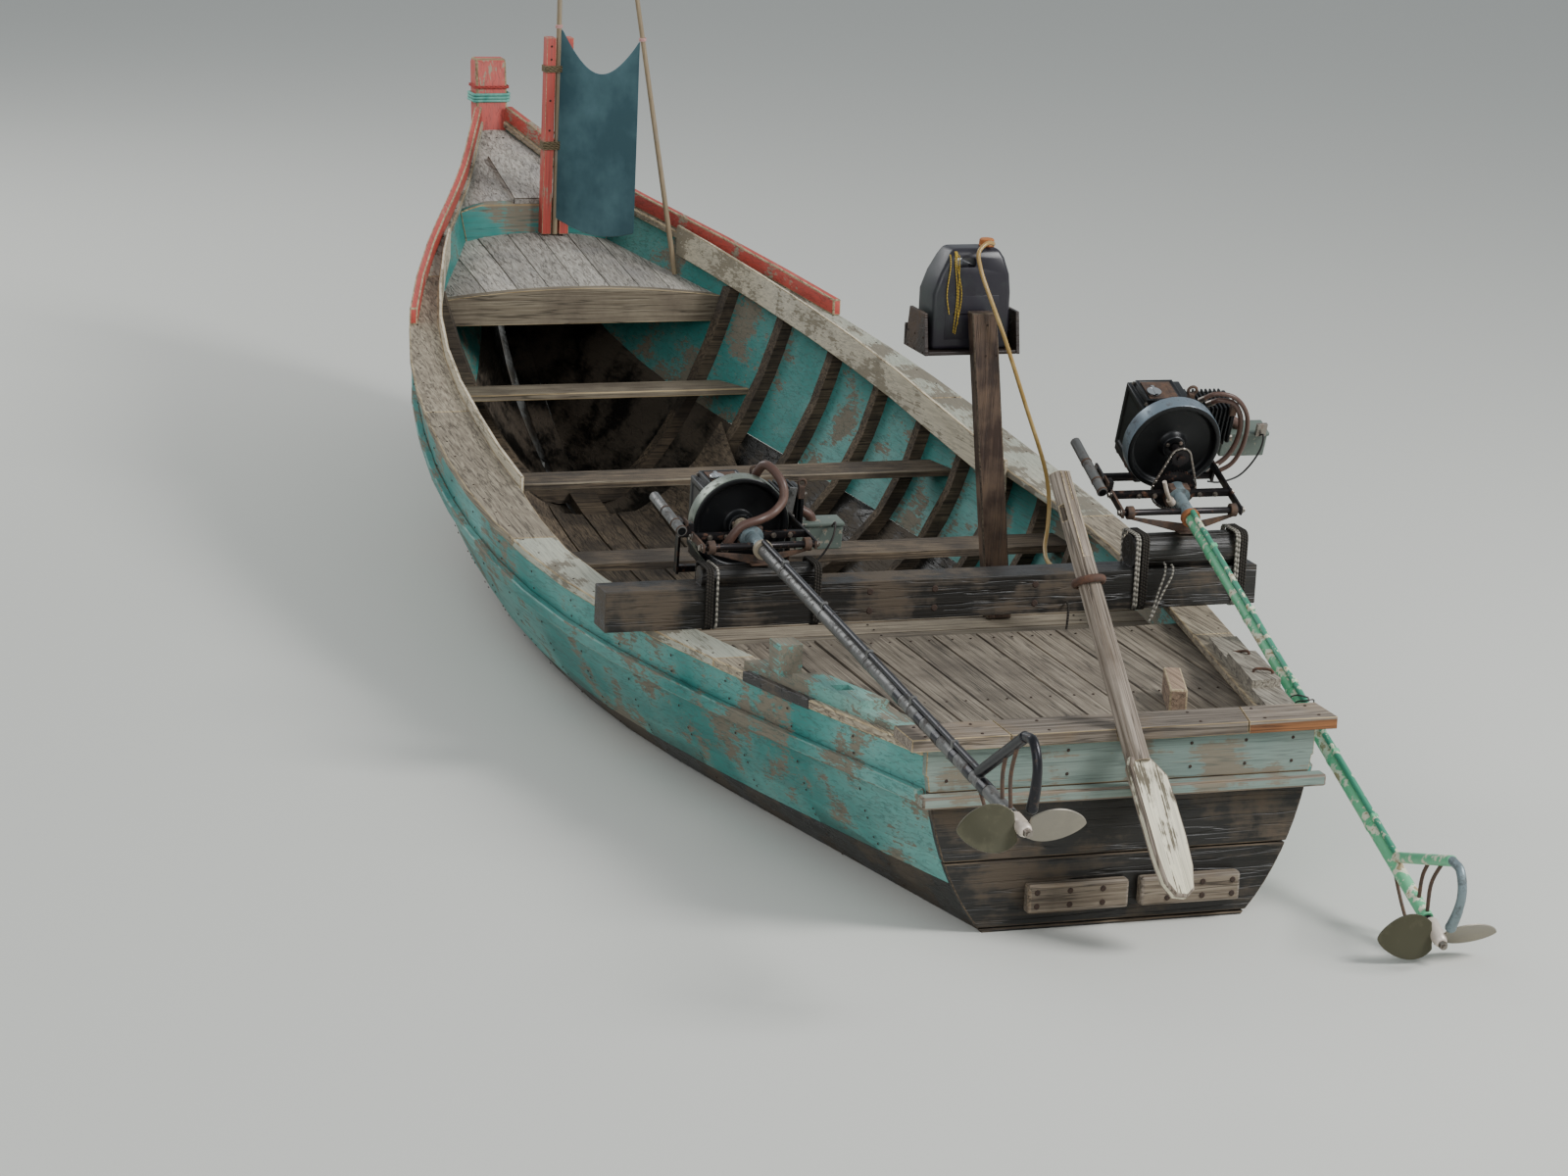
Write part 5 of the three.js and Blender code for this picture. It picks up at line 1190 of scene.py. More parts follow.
class LONGTAIL_OT_crossbeam(bpy.types.Operator):
    """Tarred crossbeam with its logs, lashings and bolts"""
    bl_idname = "longtail.crossbeam"
    bl_label = "Crossbeam"

    def execute(self, context):
        beam = mesh_copy("crossbeam", "tarred_crossbeam")
        wear_edges(beam, 0.007, 2, 40, 1)
        finish_piece(beam, ["tar_across", "tar_across"], "crossbeam")
        radius = context.scene.longtail_sizes.rope * 0.34
        low = 0.657
        for name, y, top, turns, cord in (("lashing_outer", -1.345, 0.960, 3, "dark_rope"),
                ("pied_lashing_outer", -1.315, 0.960, 2, "pied_cord"),
                ("lashing_inner", -0.900, 0.960, 3, "dark_rope"),
                ("pied_lashing_inner", -0.866, 0.960, 2, "pied_cord"),
                ("lashing_port_inner", 0.530, 0.895, 3, "dark_rope"),
                ("lashing_port_outer", 0.985, 0.895, 3, "dark_rope"),
                ("pied_lashing_port", 0.953, 0.895, 1, "pied_cord")):
            winding(name, (1.945, y, (low + top) / 2), (0.0775, (top - low) / 2), "y", turns, radius,
                cord, corner=0.03)
        heads = [((1.8685, y, z), AFT) for y in (-0.42, 0.02, 0.3) for z in (0.70, 0.78)]
        nails("crossbeam_bolt_heads", heads, 0.03)
        return {"FINISHED"}


# Rudder

def rudder_frame():
    """Matrix from a piece's own upright axis to the rudder's axis, turned as it was left."""
    axis = RUDDER_HEAD - RUDDER_FOOT
    lean = Vector((0, 0, 1)).rotation_difference(axis.normalized()).to_matrix().to_4x4()
    return Matrix.Translation(RUDDER_FOOT) @ lean @ Matrix.Rotation(math.radians(-62), 4, "Z")


class LONGTAIL_OT_rudder(bpy.types.Operator):
    """Split wooden stock with its tiller hole and iron ring, and the painted blade"""
    bl_idname = "longtail.rudder"
    bl_label = "Rudder"

    def execute(self, context):
        place = rudder_frame()
        long = (RUDDER_HEAD - RUDDER_FOOT).length
        stock = rod("rudder_stock", (0, 0, -0.10), (0, 0, long), 0.0455, 16, 0.040)
        edit(stock)
        bpy.ops.mesh.bisect(plane_co=(0, 0, long * 0.75), plane_no=(0, 0, 1), use_fill=False)
        close_edit()
        carve(stock, block("tiller_slot", (-0.08, -0.013, long - 0.190), (0.08, 0.013, long - 0.128)),
            block("head_flat", (-0.08, 0.031, long - 0.34), (0.08, 0.08, long + 0.05)),
            block("head_flat_other", (-0.08, -0.08, long - 0.34), (0.08, -0.031, long + 0.05)),
            block("stock_split", (-0.003, -0.06, long - 0.115), (0.001, -0.012, long + 0.02)))
        wear_edges(stock, 0.004, 2, 30, 1)
        settle(stock, place)
        finish_piece(stock, ["rudder_stock", "fresh_edge"], body="rudder")

        ring = torus("rudder_ring", 0.0535, 0.0125, 40, 12)
        ring.scale = (1, 1, 1.25)
        settle(ring)
        tipped = Matrix.Translation((0, 0, long - 0.428)) @ Matrix.Rotation(math.radians(5), 4, "X")
        settle(ring, place @ tipped)
        finish_piece(smooth(ring, 60), "ring_rust", body="rudder")

        outline = ((-0.034, -0.060), (-0.070, -0.120), (-0.064, -0.450), (-0.050, -0.560),
            (-0.010, -0.612), (0.052, -0.618), (0.104, -0.590), (0.134, -0.500), (0.142, -0.390),
            (0.138, -0.250), (0.128, -0.150), (0.034, -0.060))
        half = 0.019
        blade = outline_mesh("rudder_blade", [(x, half, z) for x, z in outline])
        thicken(blade, (0, -2 * half, 0))
        wear_edges(blade, 0.012, 3, 50, 1)
        settle(blade, place)
        finish_piece(blade, ["rudder_blade", "rudder_stock"], "rudder", "rudder")
        return {"FINISHED"}


# Engines

class Drive:
    """Where one engine stands: its pivot, slope, swing and sizes, as in the part."""

    def __init__(self, side, pivot, slope, swing, crank, tail, left, right):
        self.side, self.crank, self.tail, self.left, self.right = side, crank, tail, left, right
        self.swivel = Matrix.Translation(pivot) @ Matrix.Rotation(math.radians(-swing), 4, "Z")
        self.place = self.swivel @ Matrix.Rotation(math.radians(-slope), 4, "Y")
        self.body = f"{side}_engine"

    def fit(self, piece, surfaces, slot, stands_for=None, body=None):
        """Lays a piece drawn about the tail's axis in its place on the boat."""
        settle(piece, self.place)
        return finish_piece(piece, surfaces, stands_for, body or self.body)

    def mount(self, piece, surfaces, slot, stands_for=None):
        """Lays a piece drawn about the crankshaft in its place on the boat."""
        return self.fit(shift(piece, 0, 0, self.crank), surfaces, slot, stands_for)


DRIVES = (
    Drive("starboard", (1.945, -1.110, 1.045), 19.84, 2.36, 0.155, 2.800, 0.285, -0.240),
    Drive("port", (1.945, 0.757, 0.970), 4.75, 0.6, 0.0, 2.960, 0.236, -0.236),
)


def hose_ends(first, last, reach, radius, sides):
    """Clamped sleeves at both ends of a hose, from the points that give its ends and their ways in."""
    ends = []
    for at, other in (first, last[::-1]):
        at, way = Vector(at), (Vector(other) - Vector(at)).normalized()
        ends.append(rod("hose_end", at - way * reach[0], at + way * reach[1], radius, sides))
    return ends


def hex_bolt(name, at, out, across, high):
    """A hexagonal bolt head on a washer."""
    at, out = Vector(at), Vector(out).normalized()
    head = rod(name, at + out * high * 0.25, at + out * high, across / 2, 6)
    washer = rod(name, at - out * 0.001, at + out * high * 0.3, across * 0.68, 14)
    return joined(name, [head, washer])


def lathe(name, profile, steps):
    """A turned piece about the x axis, spun from a profile of x and radius."""
    piece = outline_mesh(name, [(x, radius, 0) for x, radius in profile], False)
    edit(piece)
    bpy.ops.mesh.spin(steps=steps, angle=math.tau, center=(0, 0, 0), axis=(1, 0, 0))
    bpy.ops.mesh.select_all(action="SELECT")
    bpy.ops.mesh.remove_doubles(threshold=0.00005)
    bpy.ops.mesh.normals_make_consistent(inside=False)
    close_edit()
    return piece


class LONGTAIL_OT_flywheels(bpy.types.Operator):
    """Dished flywheels with kidney-shaped recesses, bright worn rims and hubs"""
    bl_idname = "longtail.flywheels"
    bl_label = "Flywheels"

    def execute(self, context):
        for drive in DRIVES:
            wheel = lathe(f"dished_flywheel_{drive.side}",
                ((0.251, 0.205), (0.246, 0.200), (0.246, 0.186), (0.250, 0.181), (0.270, 0.176),
                (0.276, 0.168), (0.276, 0.064), (0.268, 0.056), (0.251, 0.050), (0.248, 0.046),
                (0.248, 0.020), (0.336, 0.020), (0.336, 0.044), (0.296, 0.050), (0.294, 0.060),
                (0.294, 0.172), (0.320, 0.180), (0.324, 0.185), (0.324, 0.201), (0.319, 0.205)), 72)
            for k in range(4):
                a = math.radians(90 * k + 20)
                kidney = rod("kidney_cutter", (0.236, 0, 0), (0.276, 0, 0), 0.030, 20)
                kidney.data.transform(Matrix.Diagonal((1, 1.75, 0.92, 1)))
                kidney.data.transform(Matrix.Rotation(a, 4, "X") @ Matrix.Translation((0, 0, 0.120)))
                carve(wheel, kidney)
            wear_edges(wheel, 0.003, 2, 32, 0)
            smooth(wheel, 40)
            shift(wheel, 0, 0, drive.crank)
            rim = "rim_grey_green" if drive.side == "port" else "rim_blue_grey"
            drive.fit(wheel, ["wheel_black", rim, "recess_edge"], "engine_casting",
                f"flywheel_{drive.side}", f"{drive.side}_flywheel")
            back, crank = drive.place.inverted(), drive.crank

            # Slot 2 colours the slanted walls of the recesses bright: painted glints.
            def rim_or_web(face):
                local = back @ face.center
                radius = math.hypot(local.y, local.z - crank)
                if radius > 0.2035:
                    return 1
                across = abs((back.to_3x3() @ face.normal).x)
                return 2 if 0.07 < radius < 0.165 and 0.25 < across < 0.97 and local.x < 0.28 else 0
            paint_faces(wheel, rim_or_web)
            studs = []
            for degrees in (23, 143, 264):
                y, z = around(0.033, degrees)
                studs.append(hex_bolt("hub_stud", (0.250, y, crank + z), AFT, 0.013, 0.008))
            drive.fit(joined(f"hub_studs_{drive.side}", studs), "worn_steel", "engine_casting",
                body=f"{drive.side}_flywheel")
            if drive.crank:
                self.chain_drive(drive)
            else:
                shaft = lathe("flywheel_shaft_port", ((0.1505, 0.001), (0.1505, 0.024), (0.170, 0.024),
                    (0.172, 0.033), (0.196, 0.033), (0.198, 0.024), (0.215, 0.024), (0.217, 0.036),
                    (0.246, 0.036), (0.246, 0.001)), 32)
                drive.fit(smooth(shaft, 40), "coupling_beige", "engine_casting", body="port_flywheel")
        return {"FINISHED"}

    def chain_drive(self, drive):
        """Sprocket and stub on the flywheel, sprocket on the tail shaft, and the chain's links."""
        stub = lathe("flywheel_stub_starboard", ((0.154, 0.001), (0.154, 0.017), (0.246, 0.019),
            (0.246, 0.001)), 24)
        upper = self.toothed_wheel("upper_sprocket", 0.040, 20)
        upper = shift(joined("upper_sprocket_and_stub", [smooth(stub), upper]), 0, 0, drive.crank)
        drive.fit(upper, "dark_steel", "engine_casting", body="starboard_flywheel")
        lower = self.toothed_wheel("lower_sprocket", 0.092, 46)
        shaft = lathe("tail_shaft_head", ((0.1506, 0.001), (0.1506, 0.016), (0.188, 0.016),
            (0.190, 0.013), (0.196, 0.013), (0.196, 0.001)), 20)
        drive.fit(joined("lower_sprocket_and_shaft", [lower, smooth(shaft)]), "dark_steel",
            "dark_steel", "drive_sprocket_starboard", "starboard_propeller")
        low, high = 0.0975, 0.0455
        lean = math.asin((low - high) / drive.crank)
        path = []
        for k in range(25):
            a = lean + (math.pi - 2 * lean) * k / 24
            path.append((high * math.cos(a), drive.crank + high * math.sin(a)))
        for k in range(49):
            a = math.pi - lean + (math.pi + 2 * lean) * k / 48
            path.append((low * math.cos(a), low * math.sin(a)))
        path.append(path[0])
        steps = [math.dist(a, b) for a, b in zip(path, path[1:])]
        whole = sum(steps)
        count = 62
        spots = []
        for n in range(count):
            want, i = whole * n / count, 0
            while want > steps[i]:
                want -= steps[i]
                i += 1
            u = want / steps[i]
            y, z = (path[i][j] + (path[i + 1][j] - path[i][j]) * u for j in (0, 1))
            heading = math.atan2(path[i + 1][1] - path[i][1], path[i + 1][0] - path[i][0])
            wide = 0.0055 if n % 2 else 0.0035
            spots.append(Matrix.Translation((0.168, y, z)) @ Matrix.Rotation(heading, 4, "X")
                @ Matrix.Diagonal((wide / 0.0055, 1, 1, 1)))
        link = block("chain_link", (-0.0055, -0.0068, -0.0042), (0.0055, 0.0068, 0.0042))
        wear_edges(link, 0.0016, 1)
        drive.fit(joined("roller_chain", copies(link, spots)), "worn_steel",
            "dark_steel", "drive_chain_starboard")

    def toothed_wheel(self, name, radius, teeth):
        """A sprocket of the part's size, its rim extruded tooth by tooth."""
        wheel = rod(name, (0.1625, 0, 0), (0.1735, 0, 0), radius - 0.004, teeth * 2)
        edit(wheel, lambda face: abs(face.normal.x) < 0.5
            and int((math.atan2(face.center.z, face.center.y) / math.tau + 2) * teeth * 2 + 0.25) % 2 == 0)
        bpy.ops.mesh.extrude_faces_move(TRANSFORM_OT_shrink_fatten={"value": 0.0045})
        close_edit()
        return wheel


class LONGTAIL_OT_engines(bpy.types.Operator):
    """Castings, barrel fins, air cleaner box, pipes, bolts, levers and hoses of both engines"""
    bl_idname = "longtail.engines"
    bl_label = "Engines"

    def execute(self, context):
        for drive in DRIVES:
            self.castings(drive)
            self.fittings(drive)
            self.frame_of(drive)
            self.yoke(drive)
            if drive.side == "starboard":
                self.starboard_lines(drive)
            else:
                self.port_lines(drive)
        return {"FINISHED"}

    def castings(self, drive):
        case = block("crankcase", (0.338, -0.118, -0.188), (0.590, 0.118, 0.112))
        inset(case, lambda face: face.normal.x < -0.9, (0.020, 0), (0.006, -0.008))
        inset(case, lambda face: face.normal.y > 0.9, (0.024, 0), (0.008, -0.007), (0.030, 0.005))
        wear_edges(case, 0.012, 3, 40)
        cover = lathe("main_bearing_cover", ((0.3375, 0.001), (0.3375, 0.062), (0.332, 0.068),
            (0.332, 0.092), (0.3375, 0.100), (0.345, 0.100), (0.345, 0.001)), 40)
        shift(cover, 0.004, 0, 0)
        hopper = block("hopper", (0.400, -0.070, 0.104), (0.560, 0.096, 0.140))
        inset(hopper, faces_up, (0.012, 0), (0.003, -0.006))
        wear_edges(hopper, 0.007, 3, 40)
        flange = worn_block("hopper_flange", (0.392, -0.078, 0.109), (0.568, 0.104, 0.119), 0.003)
        barrel = worn_block("barrel", (0.412, -0.306, -0.080), (0.548, -0.110, 0.080), 0.014, 3)
        fins = [worn_block("fin", (0.400, y - 0.0042, -0.092), (0.560, y + 0.0042, 0.092), 0.0028, 2)
            for y in (-0.134 - k * 0.0195 for k in range(9))]
        head = block("barrel_head", (0.404, -0.320, -0.085), (0.556, -0.303, 0.085))
        inset(head, lambda face: face.normal.y < -0.9, (0.024, 0), (0.006, 0.006))
        wear_edges(head, 0.005)
        tank = block("sump_plate", (0.356, -0.108, -0.1885), (0.574, 0.108, -0.176))
        whole = joined(f"engine_castings_{drive.side}",
            [smooth(p, 40) for p in (case, cover, hopper, flange, barrel, head, tank)] + fins)
        drive.mount(whole, "engine_black", "engine_casting", f"engine_{drive.side}")
        plate = block("hopper_plate", (0.416, -0.052, 0.134), (0.544, 0.078, 0.1395))
        inset(plate, faces_up, (0.022, 0), (0.006, -0.002))
        wear_edges(plate, 0.002)
        drive.mount(plate, "iron", "engine_casting")

    def fittings(self, drive):
        box = block("air_box", (0.457, -0.518, -0.190), (0.558, -0.312, -0.076))
        inset(box, lambda face: face.normal.x < -0.9 or faces_up(face), (0.014, -0.003),
            use_individual=True)
        wear_edges(box, 0.007, 3)
        lid = worn_block("air_box_lid", (0.453, -0.523, -0.088), (0.562, -0.308, -0.072), 0.004)
        drive.mount(smooth(joined(f"air_box_{drive.side}", [box, lid])), "box_green", "engine_casting")
        neck = tube(f"intake_pipe_{drive.side}",
            route(((0.505, -0.392, -0.075), (0.505, -0.384, -0.054), (0.505, -0.340, -0.026),
            (0.505, -0.296, 0.000)), 5), 0.0215, 14)
        band = rod("intake_band", (0.505, -0.350, -0.034), (0.505, -0.336, -0.024), 0.0240, 16)
        drive.mount(joined(f"intake_neck_{drive.side}", [neck, band]), "brown_hose", "engine_casting")
        bolts = [((0.338, y, z), AFT, 0.019, 0.011) for y in (-0.102, 0.102) for z in (-0.172, 0.096)]
        bolts.append(((0.338, 0.0, -0.172), AFT, 0.019, 0.011))
        bolts += [((0.336, *around(0.080, 60 * a + 30)), AFT, 0.013, 0.008) for a in range(6)]
        bolts += [((x, -0.320, z), (0, -1, 0), 0.020, 0.014)
            for x, z in ((0.424, -0.068), (0.536, 0.068), (0.424, 0.068))]
        bolts += [((x, y, 0.118), UP, 0.012, 0.010) for x in (0.3965, 0.5635) for y in (-0.072, 0.098)]
        bolts = joined(f"casting_bolts_{drive.side}", [hex_bolt("casting_bolt", *bolt) for bolt in bolts])
        drive.mount(bolts, "worn_steel", "dark_steel")
        cap = lathe("filler_cap", ((-0.001, 0.001), (-0.001, 0.027), (0.006, 0.031), (0.014, 0.031),
            (0.018, 0.024), (0.020, 0.001)), 28)
        cap.data.transform(Matrix.Rotation(-math.pi / 2, 4, "Y"))
        lever = worn_block("cap_lever", (-0.034, -0.007, 0.0165), (0.034, 0.007, 0.0215), 0.002)
        cap = joined(f"filler_cap_{drive.side}", [smooth(cap, 40), lever])
        drive.mount(shift(cap, 0.450, 0.050, 0.1395), "chrome", "engine_casting")
        eyes = []
        for at, size in (((0.388, -0.092, 0.190), 0.019), ((0.392, -0.300, 0.128), 0.016)):
            eye = shift(torus("eye", size, size * 0.34, 28, 10, rotation=(0, math.pi / 2, 0)), *at)
            x, y, z = at
            foot = worn_block("eye_foot", (x - 0.008, y - 0.014, z - size - 0.052),
                (x + 0.016, y + 0.014, z - size * 0.8), 0.003)
            eyes += [smooth(eye, 60), foot]
        bridge = worn_block("eye_bracket", (0.386, -0.112, 0.104), (0.410, -0.070, 0.124), 0.003)
        drive.mount(joined(f"lifting_eyes_{drive.side}", eyes + [bridge]), "iron", "dark_steel")

    def frame_of(self, drive):
        """The welded frame from its CAD node, with bolts, link plates, grip end and the bearing block."""
        node = f"engine_frame_{drive.side}"
        body = mesh_copy(node, f"welded_frame_{drive.side}")
        wear_edges(body, 0.003, 2, 40)
        smooth(body, 40)
        finish_piece(body, ["dark_steel", "iron", "grey_tube", "blue_grey"], node, drive.body)
        back = drive.place.inverted()

        def part(face):
            at = back @ face.center
            if at.y > drive.left + 0.036:
                return 2
            if abs(at.y) < 0.052 and at.x < 0.152 and abs(at.z) < 0.052:
                return 3
            return 1 if abs(at.y) > abs(drive.left) - 0.02 and at.x < 0.10 else 0
        paint_faces(body, part)
        bolts = [((x, y + out * 0.005, 0.0), (0, out, 0), 0.024, 0.014)
            for y, out in ((drive.left, 1), (drive.right, -1)) for x in (0.0, 0.135, 0.335)]
        bolts += [((x, y, drive.crank - 0.2285), (0, 0, -1), 0.019, 0.012)
            for x in (0.366, 0.475, 0.585) for y in (-0.090, 0.090)]
        bolts += [((0.1215, y, 0.0), AFT, 0.017, 0.010) for y in (-0.17, -0.10, 0.10, 0.17)]
        bolts = joined(f"frame_bolts_{drive.side}", [hex_bolt("frame_bolt", *bolt) for bolt in bolts])
        drive.fit(bolts, "worn_steel", "dark_steel")
        bearing = worn_block("bearing_block", (0.099, -0.046, -0.046), (0.1478, 0.046, 0.046), 0.006)
        drive.fit(bearing, "iron", "dark_steel")
        y = drive.left + 0.062
        start, heading = Vector((0.095, y, 0.040)), Vector((0.330, 0.022, 0.040)).normalized()
        mouth = rod("grip_mouth", start - heading * 0.0012, start + heading * 0.006, 0.0165, 20)
        drive.fit(mouth, "engine_black", "dark_steel")
        rings = [rod("grip_ring", start + heading * k, start + heading * (k + 0.008), 0.0237, 20)
            for k in (0.002, 0.07, 0.19)]
        links = [block("link_plate", (0.120 + k * 0.02, y - 0.034, 0.052 - 0.02 * k),
            (0.178 + k * 0.02, y - 0.028, 0.072 - 0.02 * k)) for k in (0, 1, 2)]
        drive.fit(joined(f"grip_rings_{drive.side}", rings + [wear_edges(p, 0.002) for p in links]),
            "iron", "dark_steel")

    def yoke(self, drive):
        node = f"yoke_{drive.side}"
        body = mesh_copy(node, f"welded_yoke_{drive.side}")
        wear_edges(body, 0.002, 2, 50)
        finish_piece(smooth(body, 40), "iron", node, f"{drive.side}_swivel")

    def starboard_lines(self, drive):
        """Coolant hoses that loop over the side, a speed cable and a gusset, all fixed to the engine."""
        sets = (
            ("brown_hose", 0.0115, ((0.402, -0.190, 0.115), (0.372, -0.215, 0.150),
                (0.360, -0.275, 0.142), (0.362, -0.325, 0.070), (0.364, -0.335, -0.040),
                (0.362, -0.300, -0.130), (0.362, -0.232, -0.190))),
            ("brown_hose", 0.0100, ((0.402, -0.150, 0.135), (0.370, -0.190, 0.182),
                (0.352, -0.270, 0.176), (0.350, -0.345, 0.090), (0.352, -0.362, -0.050),
                (0.358, -0.330, -0.160), (0.372, -0.245, -0.225))),
            ("black_cable", 0.0042, ((0.448, -0.470, -0.080), (0.420, -0.478, -0.060),
                (0.400, -0.470, -0.120), (0.392, -0.400, -0.240), (0.372, -0.300, -0.262),
                (0.362, -0.243, -0.250))),
        )
        for k, (name, radius, points) in enumerate(sets):
            drive.mount(tube(f"starboard_line_{k}", route(points, 8), radius, 12), name, "dark_plastic")
        ends = []
        for _, radius, points in sets[:2]:
            ends += hose_ends(points[:2], points[-2:], (0.012, 0.020), radius * 1.22, 16)
        bracket = block("cable_post", (0.440, -0.500, -0.080), (0.456, -0.452, -0.020))
        ends.append(wear_edges(bracket, 0.003))
        drive.mount(joined("starboard_hose_ends", ends), "worn_steel", "dark_steel")
        gusset = worn_block("gusset", (0.352, -0.238, -0.075), (0.360, -0.150, 0.020), 0.003)
        drive.fit(gusset, "blue_grey", "dark_steel")
        lever = tube("clutch_lever", route(((0.062, 0.052, 0.010), (0.055, 0.080, 0.060),
            (0.050, 0.104, 0.116)), 6), 0.009, 12)
        knob = rod("lever_foot", (0.062, 0.040, -0.002), (0.062, 0.058, 0.020), 0.016, 14)
        drive.fit(joined("starboard_lever", [lever, knob]), "hub_pale", "dark_steel")

    def port_lines(self, drive):
        """The wide bent coolant hose, the flat stay beside it and a cable."""
        points = route(((0.392, -0.070, 0.118), (0.300, -0.105, 0.242), (0.205, -0.150, 0.190),
            (0.180, -0.150, 0.130), (0.150, -0.105, 0.090), (0.100, -0.030, 0.076), (0.093, 0.050, 0.052),
            (0.100, 0.092, -0.004), (0.112, 0.108, -0.040)), 8)
        drive.mount(tube("port_coolant_hose", points, 0.0185, 16), "brown_hose", "dark_plastic")
        ends = hose_ends((points[0], points[3]), (points[-4], points[-1]), (0.014, 0.018), 0.0212, 18)
        drive.mount(joined("port_hose_ends", ends), "worn_steel", "dark_steel")
        stay = worn_block("flat_stay", (-0.004, -0.017, -0.150), (0.004, 0.017, 0.150), 0.002)
        lean = math.radians(8)
        stay.data.transform(Matrix.Translation((0.368, -0.236, -0.030)) @ Matrix.Rotation(lean, 4, "X"))
        bolts = [hex_bolt("stay_bolt", (0.364, -0.236 - 0.139 * s * math.sin(lean), 0.130 * s - 0.030),
            AFT, 0.020, 0.012) for s in (-1, 1)]
        drive.mount(joined("port_flat_stay", [stay] + bolts), "grey_tube", "dark_steel")
        cable = tube("port_cable", route(((0.448, -0.465, -0.082), (0.425, -0.470, -0.060),
            (0.402, -0.455, -0.120), (0.396, -0.390, -0.215), (0.372, -0.290, -0.236),
            (0.362, -0.240, -0.226)), 8), 0.0042, 10)
        drive.mount(cable, "black_cable", "dark_plastic")


# Tails and propellers

class LONGTAIL_OT_tails(bpy.types.Operator):
    """Long shaft tubes with their parallel pipe, guard over the propeller, stay rods and fin"""
    bl_idname = "longtail.tails"
    bl_label = "Tails"

    def execute(self, context):
        for drive in DRIVES:
            self.tail(drive)
        return {"FINISHED"}

    def tail(self, drive):
        green = drive.side == "starboard"
        end, foot = 0.112 - drive.tail, 0.432 - drive.tail
        shaft = lathe("shaft_tube", ((-0.0363, 0.001), (-0.0363, 0.024), (-0.060, 0.026),
            (end + 0.004, 0.026), (end, 0.0245), (end, 0.0175), (end + 0.012, 0.0170),
            (end + 0.012, 0.001)), 28)
        tubes = [smooth(shaft, 40)]
        collar = lathe("tail_collar", ((-0.0363, 0.024), (-0.0363, 0.0385), (-0.0385, 0.040),
            (-0.0605, 0.040), (-0.0625, 0.0385), (-0.0625, 0.024)), 36)
        wide = 0.022
        for share in (0.10, 0.30, 0.52, 0.72, 0.90):
            x = -0.08 + share * (foot + 0.10)
            strap = lathe("pipe_strap", ((x, 0.026), (x, 0.028), (x - wide, 0.028), (x - wide, 0.026)), 28)
            clip = worn_block("pipe_clip", (x - wide, -0.0135, 0.020), (x, 0.0135, 0.0515), 0.004)
            tubes += [smooth(strap, 50), clip]
        pipe = smooth(rod("side_pipe", (foot - 0.010, 0, 0.040), (-0.056, 0, 0.034), 0.012, 18), 40)

        # The guard, its rods and the fin are drawn from the propeller's end of the tube
        bar = smooth(rod("guard_bar", (0.432, 0, 0.032), (0.053, 0, 0.312), 0.021, 20), 40)
        wear_edges(bar, 0.003, 2, 50)
        line = route(upright(((0.060, 0.310), (0.030, 0.318), (-0.012, 0.324), (-0.054, 0.290),
            (-0.074, 0.244), (-0.076, 0.200), (-0.072, 0.156), (-0.058, 0.092))), 6)
        bow = tube("guard_bow", line, 0.017, 16, taper=lambda s: 1.0 + 0.22 * max(0.0, s - 0.62) / 0.38)
        deselect_all()
        bpy.ops.mesh.primitive_uv_sphere_add(segments=24, ring_count=14, radius=0.0215,
            location=(-0.060, 0, 0.098))
        bulb = settle(primitive("guard_bulb"))
        rods = [tube("stay_rod", route(upright(points), 8), 0.0075, 10)
            for points in (((0.200, 0.206), (0.222, 0.110), (0.203, 0.012)),
            ((0.109, 0.270), (0.150, 0.130), (0.122, 0.014)))]
        points = ((0.430, -0.020), (0.300, -0.096), (0.196, -0.132), (0.150, -0.104), (0.168, -0.020))
        fin = tube("fin_rod", route(upright(points), 8), 0.0068, 10)
        for piece in (bar, bow, bulb, fin, *rods):
            shift(piece, -drive.tail, 0, 0)
        groups = [
            ("shaft_tube", tubes, "tube_green", "grey_tube"),
            ("side_pipe", [pipe], "tube_dark_green", "black_tube"),
            ("guard_bar", [bar], "tube_green", "black_tube"),
            ("guard_bow", [bow, bulb], "blue_grey", "black_tube"),
            ("guard_rods", rods, "brown_rod", "brown_rod"),
            ("skeg_rod", [fin], "brown_rod", "brown_rod"),
            ("tail_collar", [smooth(collar)], "collar_rust", "coupling_beige"),
        ]
        if green:
            groups.append(("wire_binding", [self.binding(-1.36)], "black_cable", None))
        else:
            bands = [smooth(rod("tape_band", (x - 0.030, 0, 0), (x + 0.030, 0, 0), 0.0272, 24), 50)
                for x in (-1.72, -1.95, -2.13, -2.30, -2.46, -2.60)]
            groups.insert(2, ("tape_bands", bands, None, "black_tube"))
        nodes = {"shaft_tube": f"tail_{drive.side}", "skeg_rod": f"skeg_{drive.side}"}
        for name, group, green_skin, dark_skin in groups:
            piece = joined(f"{name}_{drive.side}", group)
            drive.fit(piece, green_skin if green else dark_skin, "green_tube" if green
                else "dark_steel", nodes.get(name))

    def binding(self, at):
        """Thin wire wound loosely three times round the tube and its side pipe."""
        turns, steps = 3, 20
        points = []
        for k in range(turns * steps + 1):
            angle = math.tau * k / steps
            share = k / (turns * steps)
            wide = 0.036 + 0.007 * math.sin(angle * 1.5 + 1.0)
            points.append((at - 0.085 * share + 0.016 * math.cos(angle * 2.0), wide * math.cos(angle),
                0.014 + (wide + 0.004) * math.sin(angle)))
        return tube("wire_binding", points, 0.0028, 8)


